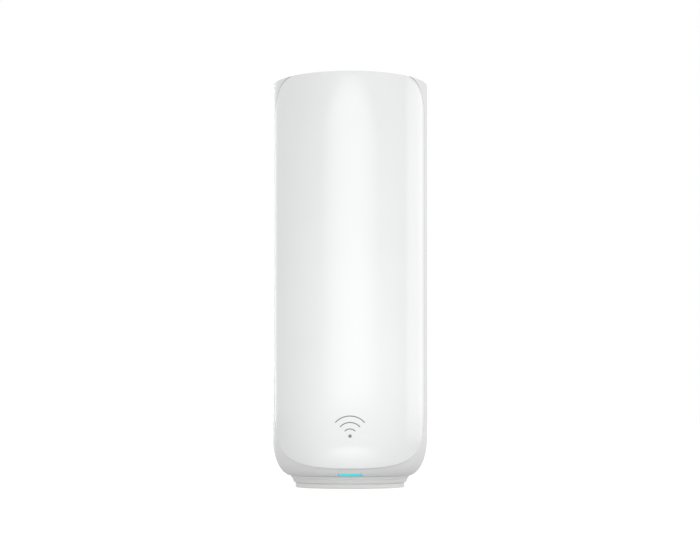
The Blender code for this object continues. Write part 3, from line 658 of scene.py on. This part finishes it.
def make_rear_housing():
    """The round outer casing with its panel window, lens notch, port bay and rear vents."""
    housing = plain_object("housing_shell", revolve(housing_profile()))
    inner = lambda z: body_radius(z) - WALL - WINDOW_WALL_GAP
    window = wrapped_plate(window_outline(), inner, body_radius, SMALL_EDGE, flare=True)
    cut(housing, plain_object("window", window))
    bar_low, bar_high = light_bar_box()
    notch_centre = (0.0, (bar_low.z + bar_high.z) / 2)
    notch_half_height = (bar_high.z - bar_low.z) / 2 + CHIN_SEAM
    notch = rounded_rectangle(bar_high.x + CHIN_SEAM, notch_half_height, EDGE, notch_centre)
    cut(housing, plain_object("notch", prism(notch, -0.050, -0.0335, axis="Y")))
    tray_low, tray_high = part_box("port_tray")
    centre = (0.0, (tray_low.z + tray_high.z) / 2)
    bay_half_height = (tray_high.z - tray_low.z) / 2 + SEAM
    bay = rounded_rectangle(tray_high.x + SEAM, bay_half_height, 0.0025, centre)
    cut(housing, plain_object("bay", prism(bay, PORT_CUT_Y[0], PORT_OUTSIDE_Y, axis="Y")))
    slots = []
    for i in range(VENT_COUNT):
        slot = [(x, z + VENT_LOW_Z + VENT_PITCH * i) for x, z in stadium(VENT_LENGTH, VENT_WIDTH)]
        slots.append(prism(slot, 0.038, PORT_OUTSIDE_Y, axis="Y"))
    cut(housing, plain_object("slots", joined(*slots)))
    paint(housing, SHELL_WHITE)
    settle(housing, replaces=["rear_housing"])


def slot_ring(count, phase, at_radius, size, low, high):
    """Cutters for round-ended slots laid radially round the tower's axis."""
    slots = []
    for i in range(count):
        slot = prism(stadium(*size), low, high)
        turn = Matrix.Rotation(2 * math.pi * (i + phase) / count, 4, "Z")
        place = turn @ Matrix.Translation((at_radius, 0, 0))
        bmesh.ops.transform(slot, matrix=place, verts=slot.verts)
        slots.append(slot)
    return slots


def make_top_cap():
    """The lid: a slightly dished disc with a ring of warm-air slots."""
    low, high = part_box("top_cap")
    radius = high.x
    profile = rounded(
        [
            (0.0, high.z - 0.0008, 0),
            (LID_DISH_RADIUS, high.z - 0.0004, 0.004),
            (radius - 0.0008, high.z, 0.0008),
            (radius, high.z - 0.0004, SOFT_EDGE),
            (radius, low.z, SMALL_EDGE),
            (0.0, low.z, 0),
        ]
    )
    cap = plain_object("cap_disc", revolve(profile))
    size = (LID_SLOT_LENGTH, LID_SLOT_WIDTH)
    slots = slot_ring(LID_SLOT_COUNT, 0.0, LID_SLOT_CIRCLE, size, low.z - 0.002, high.z + 0.002)
    cut(cap, plain_object("slots", joined(*slots)))
    paint(cap, TOP_WHITE)
    settle(cap, replaces=["top_cap"])


def make_base():
    """The tapered ring under the lip: its collar, the foot's groove, intake slots and screw wells."""
    low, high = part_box("base_plate")
    top = LIP_Z - TINY_EDGE
    profile = rounded(
        [
            (0.0, top, 0),
            (BASE_COLLAR_RADIUS, top, 0),
            (BASE_COLLAR_RADIUS, high.z, SOFT_EDGE),
            (BASE_BOTTOM_RADIUS, high.z, SOFT_EDGE),
            (BASE_BOTTOM_RADIUS, top, 0),
            (high.x, top, TINY_EDGE),
            *((radius, z, BASE_SIDE_FILLET) for radius, z in BASE_SIDE),
            (BASE_BOTTOM_RADIUS, low.z, SOFT_EDGE),
            (BASE_GROOVE_OUTER, low.z, 0),
            (BASE_GROOVE_OUTER, BASE_GROOVE_Z, 0),
            (BASE_GROOVE_INNER, BASE_GROOVE_Z, 0),
            (BASE_GROOVE_INNER, low.z, SMALL_EDGE),
            (BASE_HUB_RADIUS, low.z, SMALL_EDGE),
            (BASE_HUB_RADIUS, BASE_HUB_Z, SMALL_EDGE),
            (0.0, BASE_HUB_Z, 0),
        ]
    )
    base = plain_object("base_cover", revolve(profile))
    size = (BASE_SLOT_LENGTH, BASE_SLOT_WIDTH)
    cutters = slot_ring(BASE_SLOT_COUNT, 0.5, BASE_SLOT_CIRCLE, size, *BASE_SLOT_Z)
    for i in range(4):
        node_low, node_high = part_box(f"screw_base_{i + 1}")
        middle = (node_low + node_high) / 2
        hole = prism(stadium(SCREW_WELL_WIDTH, SCREW_WELL_WIDTH), *SCREW_WELL_Z)
        bmesh.ops.translate(hole, vec=(middle.x, middle.y, 0), verts=hole.verts)
        cutters.append(hole)
    cut(base, plain_object("slots", joined(*cutters)))
    paint(base, BASE_WHITE)
    settle(base, replaces=["base_plate"])


def make_foot():
    """The soft ring that the tower stands on."""
    low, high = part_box("foot_ring")
    outer, inner = high.x, FOOT_INNER_RADIUS
    profile = rounded(
        [
            (outer, high.z, SMALL_EDGE),
            (outer, low.z, EDGE),
            (inner, low.z, EDGE),
            (inner, high.z, SMALL_EDGE),
        ]
    )
    add_piece("foot_pad", revolve(profile), FOOT_GREY, replaces=["foot_ring"])


def light_bar_box():
    """The lens's box, with its lower edge raised a little."""
    low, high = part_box("light_bar")
    low.z += LENS_RAISE
    return low, high


def make_light_bar():
    """A round-ended lens that follows the lip."""
    low, high = light_bar_box()
    bm = bmesh.new()
    half_height = (high.z - low.z) / 2
    middle_z = (low.z + high.z) / 2
    half_arc = high.x / -low.y * body_radius(middle_z)
    outline = rounded_rectangle(half_arc, half_height, half_height * 0.6, steps=6)
    rings = []
    for inset, depth in ((0.0, -0.0018), (0.0, -0.0002), (0.0001, 0.0), (half_height * 0.6, 0.00005)):
        ring = []
        for arc, up in offset_loop(outline, -inset):
            z = middle_z + up
            ring.append(bm.verts.new(polar(body_radius(z) + depth, arc / body_radius(middle_z), z)))
        rings.append(ring)
    bridge(bm, rings)
    bm.faces.new(rings[0])
    bm.faces.new(rings[-1])
    add_piece("light_lens", bm, CYAN, replaces=["light_bar"])


def printed_arc(bm, radius, half_angle, half_width, steps=32):
    """A thin arc of ink that follows the panel."""
    sections = []
    for k in range(steps + 1):
        a = half_angle * (2 * k / steps - 1)
        section = []
        for side, height in ((-1, -1), (-1, 1), (1, 1), (1, -1)):
            r = radius + side * half_width
            s, z = r * math.sin(a), SIGN_Z + r * math.cos(a)
            section.append(bm.verts.new(wrap(s, z, panel_radius(z) + height * SIGN_LIFT)))
        sections.append(section)
    bridge(bm, sections)
    bm.faces.new(sections[0])
    bm.faces.new(sections[-1])


def make_mark():
    """A small generic wireless sign: a dot under three arcs, printed on the panel."""
    bm = bmesh.new()
    for radius in SIGN_ARCS:
        printed_arc(bm, radius, SIGN_HALF_ANGLE, SIGN_STROKE / 2)
    rings = []
    for height in (-SIGN_LIFT, SIGN_LIFT):
        ring = []
        for k in range(DOT_POINTS):
            a = math.tau * k / DOT_POINTS
            s, z = SIGN_DOT * math.cos(a), SIGN_Z + SIGN_DOT * math.sin(a)
            ring.append(bm.verts.new(wrap(s, z, panel_radius(z) + height)))
        rings.append(ring)
    bridge(bm, rings)
    bm.faces.new(rings[0])
    bm.faces.new(rings[1])
    add_piece("wireless_sign", bm, MARK_GREY)


# ---------------------------------------------------------------- rear port bay


def middle_of(node):
    """A node's middle in X and Z."""
    low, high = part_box(node)
    return (low.x + high.x) / 2, (low.z + high.z) / 2


def circle(centre, radius):
    """A round outline of (x, z) points."""
    x, z = centre
    turns = [math.tau * k / HOLE_POINTS for k in range(HOLE_POINTS)]
    return [(x + radius * math.cos(a), z + radius * math.sin(a)) for a in turns]


def make_port_tray():
    """The recessed tray, trimmed to the casing's curve, with its socket and button openings."""
    low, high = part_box("port_tray")
    centre = (0.0, (low.z + high.z) / 2)
    half_width, half_height = high.x, (high.z - low.z) / 2
    outer = rounded_rectangle(half_width, half_height, 0.0022, centre)
    tray = plain_object("tray_shell", prism(outer, low.y, TRAY_BACK_Y, axis="Y"))
    hollow = rounded_rectangle(half_width - TRAY_WALL, half_height - TRAY_WALL, 0.0012, centre)
    cut(tray, plain_object("hollow", prism(hollow, PORT_FACE_Y, PORT_OUTSIDE_Y, axis="Y")))
    limit = [(0.0, TRAY_LIMIT_Z[0])]
    limit += [(body_radius(z) - TRAY_RECESS, z) for z in TRAY_LIMIT_Z]
    limit += [(0.0, TRAY_LIMIT_Z[-1])]
    cut(tray, plain_object("limit", revolve(limit)), "INTERSECT")
    for number in (1, 2):
        node = f"network_shield_{number}"
        jack_low, jack_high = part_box(node)
        wide = (jack_high.x - jack_low.x) / 2 + JACK_GAP
        tall = (jack_high.z - jack_low.z) / 2 + JACK_GAP
        opening = rounded_rectangle(wide, tall, 0.0004, middle_of(node))
        cut(tray, plain_object("opening", prism(opening, *PORT_CUT_Y, axis="Y")))
    holes = [prism(circle(middle_of(node), radius), *PORT_CUT_Y, axis="Y") for node, radius in TRAY_HOLES]
    cut(tray, plain_object("holes", joined(*holes)))
    paint(tray, TRAY_GREY)
    settle(tray, replaces=["port_tray"])


def make_contacts():
    """The eight sprung wires in each network socket."""
    for number in (1, 2):
        x, z = middle_of(f"network_insert_{number}")
        for i in range(CONTACT_COUNT):
            wire_x = x + CONTACT_PITCH * (i - (CONTACT_COUNT - 1) / 2)
            points = [(wire_x, y, z + up) for y, up in CONTACT_BENDS]
            curve = bpy.data.curves.new(f"contact_{number}_{i + 1}", "CURVE")
            curve.dimensions = "3D"
            spline = curve.splines.new("NURBS")
            spline.points.add(len(points) - 1)
            for knot, point in zip(spline.points, points):
                knot.co = (*point, 1.0)
            spline.use_endpoint_u = True
            curve.bevel_depth = CONTACT_WIRE_RADIUS
            curve.bevel_resolution = 3
            curve.use_fill_caps = True
            wire = bpy.data.objects.new(curve.name, curve)
            bpy.context.scene.collection.objects.link(wire)
            curve.materials.append(GOLD)
            settle(wire)


def rectangle(centre, left, bottom, right, top, radius):
    """A rounded rectangle given by its sides, measured from a centre."""
    x, z = centre
    middle = (x + (left + right) / 2, z + (bottom + top) / 2)
    return rounded_rectangle((right - left) / 2, (top - bottom) / 2, radius, middle)


def funnel(outline, low, high, spread_by):
    """A cutter along Y that widens from an outline by a small chamfer."""
    bm = bmesh.new()
    rings = []
    for y, outwards in ((low, 0.0), (high, spread_by)):
        rings.append([bm.verts.new((x, y, z)) for x, z in offset_loop(outline, outwards)])
    bridge(bm, rings)
    bm.faces.new(rings[0])
    bm.faces.new(rings[1])
    return bm


def make_jack(number):
    """One network socket: a folded steel shell, a moulded insert with a stepped mouth, two light pipes."""
    low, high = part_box(f"network_shield_{number}")
    centre = middle_of(f"network_shield_{number}")
    half_width, half_height = (high.x - low.x) / 2, (high.z - low.z) / 2
    outer = rounded_rectangle(half_width, half_height, 0.0007, centre)
    sleeve = prism(outer, low.y, high.y, axis="Y", fillet=TINY_EDGE)
    shell = plain_object(f"jack_shell_{number}", sleeve)
    inner = rounded_rectangle(half_width - JACK_SHEET, half_height - JACK_SHEET, 0.0004, centre)
    cut(shell, plain_object("inner", prism(inner, low.y - 0.001, high.y + 0.001, axis="Y")))
    paint(shell, STEEL)
    settle(shell, replaces=[f"network_shield_{number}"])

    low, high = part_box(f"network_insert_{number}")
    half_width, half_height = (high.x - low.x) / 2, (high.z - low.z) / 2
    block = rounded_rectangle(half_width, half_height, SOFT_EDGE, centre)
    moulding = prism(block, low.y, high.y, axis="Y", fillet=SMALL_EDGE)
    insert = plain_object(f"jack_insert_{number}", moulding)
    mouth = rectangle(centre, -0.0060, -0.0034, 0.0060, 0.0050, SOFT_EDGE)
    latch = rectangle(centre, -0.0031, -0.0050, 0.0031, -0.0030, SMALL_EDGE)
    catch = rectangle(centre, -0.0016, -0.0056, 0.0016, -0.0046, SMALL_EDGE)
    steps = ((mouth, JACK_MOUTH_DEEP_Y), (latch, JACK_LATCH_DEEP_Y), (catch, JACK_CATCH_DEEP_Y))
    for outline, deep_y in steps:
        cut(insert, plain_object("mouth", prism(outline, deep_y, PORT_CUT_Y[1], axis="Y")))
    rim = funnel(mouth, high.y - 0.0004, high.y + 0.0002, 0.0006)
    cut(insert, plain_object("rim", rim))
    paint(insert, BLACK)
    settle(insert, replaces=[f"network_insert_{number}"])

    for side, finish, label in ((-1, GREEN_PIPE, "link"), (1, AMBER_PIPE, "speed")):
        pipe_centre = (centre[0] + side * PIPE_ASIDE, centre[1] - PIPE_BELOW)
        pipe = rounded_rectangle(PIPE_HALF_WIDTH, PIPE_HALF_HEIGHT, SOFT_EDGE, pipe_centre)
        bm = prism(pipe, high.y - PIPE_LENGTH, high.y + PIPE_PROUD, axis="Y", fillet=0.00015)
        add_piece(f"{label}_pipe_{number}", bm, finish)


def make_jacks():
    """Both network sockets."""
    for number in (1, 2):
        make_jack(number)


def along_y(x, z):
    """Turns a shape made about +Z so that it lies along +Y through (x, z)."""
    return Matrix.Translation((x, 0.0, z)) @ Matrix.Rotation(-math.pi / 2, 4, "X")


def turned_along_y(profile, node, segments=96):
    """A profile of (radius, y) points turned about the line along Y through a node's middle."""
    bm = revolve(profile, segments)
    bmesh.ops.transform(bm, matrix=along_y(*middle_of(node)), verts=bm.verts)
    return bm


def make_power_inlet():
    """The barrel inlet: a moulded block with a lipped round nose, and a separate steel pin."""
    low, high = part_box("dc_inlet")
    front = high.y
    centre = middle_of("dc_inlet")
    half = high.x
    block = rounded_rectangle(half, half, EDGE, centre)
    inlet = plain_object("inlet_body", prism(block, low.y, DC_FACE_Y, axis="Y", fillet=SOFT_EDGE))
    nose = rounded(
        [
            (0.0, front, 0),
            (DC_NOSE_RADIUS, front, 0.0004),
            (DC_NOSE_RADIUS, DC_NOSE_ROOT_Y, 0),
            (0.0, DC_NOSE_ROOT_Y, 0),
        ]
    )
    cut(inlet, plain_object("nose", turned_along_y(nose, "dc_inlet")), "UNION")
    bore = rounded(
        [
            (0.0, front + 0.001, 0),
            (0.0040, front + 0.001, 0),
            (DC_BORE_RADIUS, front - 0.0005, SMALL_EDGE),
            (DC_BORE_RADIUS, DC_BORE_Y, SMALL_EDGE),
            (0.0, DC_BORE_Y, 0),
        ]
    )
    cut(inlet, plain_object("bore", turned_along_y(bore, "dc_inlet")))
    paint(inlet, BLACK)
    settle(inlet, replaces=["dc_inlet"])
    root, tip = DC_BORE_Y - 0.0010, DC_PIN_TIP_Y
    pin = rounded([(0.0, tip, 0), (DC_PIN_RADIUS, tip, 0.0006), (DC_PIN_RADIUS, root, 0), (0.0, root, 0)])
    add_piece("inlet_pin", turned_along_y(pin, "dc_inlet", 48), STEEL)


def make_sync_button():
    """The sync button, with a dished face and a flange that keeps it in the tray."""
    low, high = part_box("sync_button")
    profile = rounded(
        [
            (0.0, high.y - 0.0004, 0),
            (0.0022, high.y - 0.0003, 0.004),
            (SYNC_RADIUS, high.y, EDGE),
            (SYNC_RADIUS, SYNC_FLANGE_Y[1], TINY_EDGE),
            (SYNC_FLANGE_RADIUS, SYNC_FLANGE_Y[1], TINY_EDGE),
            (SYNC_FLANGE_RADIUS, SYNC_FLANGE_Y[0], TINY_EDGE),
            (SYNC_STEM_RADIUS, SYNC_FLANGE_Y[0], TINY_EDGE),
            (SYNC_STEM_RADIUS, low.y, TINY_EDGE),
            (0.0, low.y, 0),
        ]
    )
    bm = turned_along_y(profile, "sync_button")
    add_piece("sync_cap", bm, BUTTON_WHITE, body="sync_button", replaces=["sync_button"])


def make_reset_plunger():
    """The reset plunger behind its pinhole."""
    low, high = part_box("reset_button")
    profile = rounded(
        [
            (0.0, high.y - 0.0002, 0),
            (RESET_RADIUS, high.y, SMALL_EDGE),
            (RESET_RADIUS, RESET_FLANGE_Y[1], TINY_EDGE),
            (RESET_FLANGE_RADIUS, RESET_FLANGE_Y[1], TINY_EDGE),
            (RESET_FLANGE_RADIUS, RESET_FLANGE_Y[0], TINY_EDGE),
            (RESET_RADIUS, RESET_FLANGE_Y[0], TINY_EDGE),
            (RESET_RADIUS, low.y, TINY_EDGE),
            (0.0, low.y, 0),
        ]
    )
    bm = turned_along_y(profile, "reset_button", 48)
    add_piece("reset_plunger", bm, BLACK, body="reset_button", replaces=["reset_button"])


def make_label():
    """The blank plate on the underside."""
    low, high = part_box("rating_label")
    bm = prism(rounded_rectangle(high.x, high.y, 0.0012), low.z, high.z, fillet=0.00008)
    add_piece("blank_plate", bm, LABEL_GREY, replaces=["rating_label"])


# ---------------------------------------------------------------- studio

# Radiances of the surround, the lights and the floors, where 1 is plain white
SKY_BACK = 1.0
SKY_FRONT_LEFT = 0.8
SKY_FRONT_RIGHT = 1.1
OVERHEAD = 0.12
STRIP = 1.46
RIGHT_BOX = 0.92
LEFT_RIM = 4.0
FLOOR_PATCH = 1.9
FLOOR_GLOW = 0.2
SEEN_FLOOR_ALBEDO = 0.3
SEEN_FLOOR_GLOW = 0.82
BOUNCE_ALBEDO = 0.5

# Places and sizes of the floors and the camera
FLOOR_RADIUS = 30.0
BACKDROP_RADIUS = 10.0
BOUNCE_DEPTH = 0.0004
POOL_CENTRE = (0.006, -0.225, 0.0)
POOL_RADIUS = 0.19
CAMERA_PLACE = (0.0, -1.0376, 0.0411)
CAMERA_PITCH = math.radians(4.78)
CAMERA_LENS = 85.97


def white_shader(name, albedo, glow):
    """A plain matt white material with some glow of its own. Returns its node tree's parts too."""
    made, nodes, links, shader = new_material(name)
    shader.inputs["Base Color"].default_value = (albedo, albedo, albedo, 1.0)
    shader.inputs["Roughness"].default_value = 0.9
    shader.inputs["Specular IOR Level"].default_value = 0.0
    shader.inputs["Emission Color"].default_value = (1.0, 1.0, 1.0, 1.0)
    shader.inputs["Emission Strength"].default_value = glow
    return made, nodes, links, shader


def fade_out(nodes, links, source, share):
    """1 in the middle of a 0 to 1 coordinate, falling to 0 over a share of each half."""
    away = nodes.new("ShaderNodeMath")
    away.operation = "SUBTRACT"
    away.inputs[1].default_value = 0.5
    links.new(source, away.inputs[0])
    size = nodes.new("ShaderNodeMath")
    size.operation = "ABSOLUTE"
    links.new(away.outputs["Value"], size.inputs[0])
    fade = nodes.new("ShaderNodeMapRange")
    fade.interpolation_type = "SMOOTHSTEP"
    fade.inputs["From Min"].default_value = 0.5 * (1 - share)
    fade.inputs["From Max"].default_value = 0.5
    fade.inputs["To Min"].default_value = 1.0
    fade.inputs["To Max"].default_value = 0.0
    links.new(size.outputs["Value"], fade.inputs["Value"])
    return fade.outputs["Result"]


def product(nodes, links, first, second):
    """Multiplies two signals."""
    made = nodes.new("ShaderNodeMath")
    made.operation = "MULTIPLY"
    links.new(first, made.inputs[0])
    links.new(second, made.inputs[1])
    return made.outputs["Value"]


def soft_box(name, place, target, width, height, radiance, edge, lean=0.0):
    """An area light that fades out towards its sides, by the shares in edge.
    Lean makes its top brighter and its bottom dimmer, by that share."""
    lamp = bpy.data.lights.new(name, "AREA")
    lamp.shape = "RECTANGLE"
    lamp.size = width
    lamp.size_y = height
    lamp.energy = radiance * width * height * math.pi
    made = bpy.data.objects.new(name, lamp)
    bpy.context.scene.collection.objects.link(made)
    made.location = place
    made.rotation_euler = (Vector(target) - Vector(place)).to_track_quat("-Z", "Y").to_euler()
    made.visible_camera = False
    lamp.use_nodes = True
    nodes, links = lamp.node_tree.nodes, lamp.node_tree.links
    face = nodes.new("ShaderNodeNewGeometry")
    split = nodes.new("ShaderNodeSeparateXYZ")
    links.new(face.outputs["Parametric"], split.inputs["Vector"])
    across = fade_out(nodes, links, split.outputs["X"], edge[0])
    upward = fade_out(nodes, links, split.outputs["Y"], edge[1])
    rise = nodes.new("ShaderNodeMapRange")
    rise.inputs["To Min"].default_value = 1 - lean
    rise.inputs["To Max"].default_value = 1 + lean
    links.new(split.outputs["Y"], rise.inputs["Value"])
    level = product(nodes, links, across, upward)
    level = product(nodes, links, level, rise.outputs["Result"])
    links.new(level, nodes["Emission"].inputs["Strength"])


def make_surround():
    """A white surround, even beyond the object. Behind the camera its left is dimmer than its right."""
    world = bpy.data.worlds.new("studio")
    bpy.context.scene.world = world
    world.use_nodes = True
    nodes, links = world.node_tree.nodes, world.node_tree.links
    place = nodes.new("ShaderNodeTexCoord")
    split = nodes.new("ShaderNodeSeparateXYZ")
    links.new(place.outputs["Generated"], split.inputs["Vector"])

    def ramp(axis, reach, low, high):
        made = nodes.new("ShaderNodeMapRange")
        made.interpolation_type = "SMOOTHSTEP"
        made.inputs["From Min"].default_value = -reach
        made.inputs["From Max"].default_value = reach
        made.inputs["To Min"].default_value = low
        made.inputs["To Max"].default_value = high
        links.new(split.outputs[axis], made.inputs["Value"])
        return made

    sides = ramp("X", 0.8, SKY_FRONT_LEFT, SKY_FRONT_RIGHT)
    whole = ramp("Y", 0.5, 0.0, SKY_BACK)
    links.new(sides.outputs["Result"], whole.inputs["To Min"])
    links.new(whole.outputs["Result"], nodes["Background"].inputs["Strength"])
    nodes["Background"].inputs["Color"].default_value = (1.0, 1.0, 1.0, 1.0)


def stage_mesh(name, bm, finish, z=0.0):
    """A mesh of the staging, which is no piece of the object."""
    made = bpy.data.objects.new(name, bpy.data.meshes.new(name))
    bm.to_mesh(made.data)
    bm.free()
    made.location.z = z
    bpy.context.scene.collection.objects.link(made)
    made.data.materials.append(finish)
    return made


def floor_disc(name, finish, z=0.0):
    """A wide disc."""
    bm = bmesh.new()
    bmesh.ops.create_circle(bm, cap_ends=True, segments=96, radius=FLOOR_RADIUS)
    return stage_mesh(name, bm, finish, z)


def make_backdrop():
    """A plain white surround that only the camera sees, so that no horizon shows."""
    bm = bmesh.new()
    bmesh.ops.create_uvsphere(bm, u_segments=48, v_segments=24, radius=BACKDROP_RADIUS)
    finish = white_shader("backdrop_white", 0.0, 1.0)[0]
    finish.cycles.emission_sampling = "NONE"
    dome = stage_mesh("backdrop", bm, finish)
    dome.visible_diffuse = False
    dome.visible_glossy = False
    dome.visible_transmission = False
    dome.visible_shadow = False


def make_seen_floor():
    """The pale floor that the camera sees, which lights nothing."""
    finish = white_shader("floor_white", SEEN_FLOOR_ALBEDO, SEEN_FLOOR_GLOW)[0]
    seen = floor_disc("floor", finish)
    seen.visible_diffuse = False
    seen.visible_glossy = False
    seen.visible_shadow = False


def make_bounce_floor():
    """The unseen floor that lights the object from below, with a brighter pool in front of it."""
    finish, nodes, links, shader = white_shader("floor_bounce_white", BOUNCE_ALBEDO, FLOOR_GLOW)
    bounce = floor_disc("floor_bounce", finish, -BOUNCE_DEPTH)
    bounce.visible_camera = False
    place = nodes.new("ShaderNodeTexCoord")
    away = nodes.new("ShaderNodeVectorMath")
    away.operation = "DISTANCE"
    away.inputs[1].default_value = POOL_CENTRE
    links.new(place.outputs["Object"], away.inputs[0])
    pool = nodes.new("ShaderNodeMapRange")
    pool.interpolation_type = "SMOOTHSTEP"
    pool.inputs["From Min"].default_value = 0.0
    pool.inputs["From Max"].default_value = POOL_RADIUS
    pool.inputs["To Min"].default_value = FLOOR_PATCH + FLOOR_GLOW
    pool.inputs["To Max"].default_value = FLOOR_GLOW
    links.new(away.outputs["Value"], pool.inputs["Value"])
    links.new(pool.outputs["Result"], shader.inputs["Emission Strength"])


def make_studio():
    """White surrounds, two floors and four soft lights."""
    make_surround()
    make_backdrop()
    make_seen_floor()
    make_bounce_floor()
    soft_box("overhead", (0.0, 0.2, 1.6), (0.0, 0.0, 0.0), 2.4, 2.4, OVERHEAD, (0.3, 0.3))
    strip_z = 0.253
    strip_place = (0.0, -1.12, strip_z)
    soft_box("front_strip", strip_place, (0.0, 0.0, strip_z), 2.35, 0.416, STRIP, (0.9, 0.03), 0.36)
    soft_box("right_strip", (0.79, 0.335, 0.22), (0.0, 0.0, 0.22), 0.86, 0.50, RIGHT_BOX, (0.4, 0.3))
    soft_box("left_rim", (-0.42, 1.23, 0.33), (0.0, 0.0, 0.20), 0.75, 0.66, LEFT_RIM, (0.5, 0.12))


def make_camera():
    """A camera in front of the tower and low down, tilted up a little."""
    camera = bpy.data.cameras.new("camera")
    camera.lens = CAMERA_LENS
    camera.sensor_width = 36.0
    camera.clip_start = 0.01
    camera.clip_end = 100.0
    made = bpy.data.objects.new("camera", camera)
    bpy.context.scene.collection.objects.link(made)
    made.location = CAMERA_PLACE
    made.rotation_euler = (math.pi / 2 + CAMERA_PITCH, 0.0, 0.0)
    bpy.context.scene.camera = made


def main():
    make_camera()
    finish_carried_nodes()
    make_front_panel()
    make_rear_housing()
    make_top_cap()
    make_base()
    make_foot()
    make_light_bar()
    make_mark()
    make_port_tray()
    make_jacks()
    make_contacts()
    make_power_inlet()
    make_sync_button()
    make_reset_plunger()
    make_label()
    make_studio()
    bpy.context.scene.view_settings.view_transform = "Standard"


main()
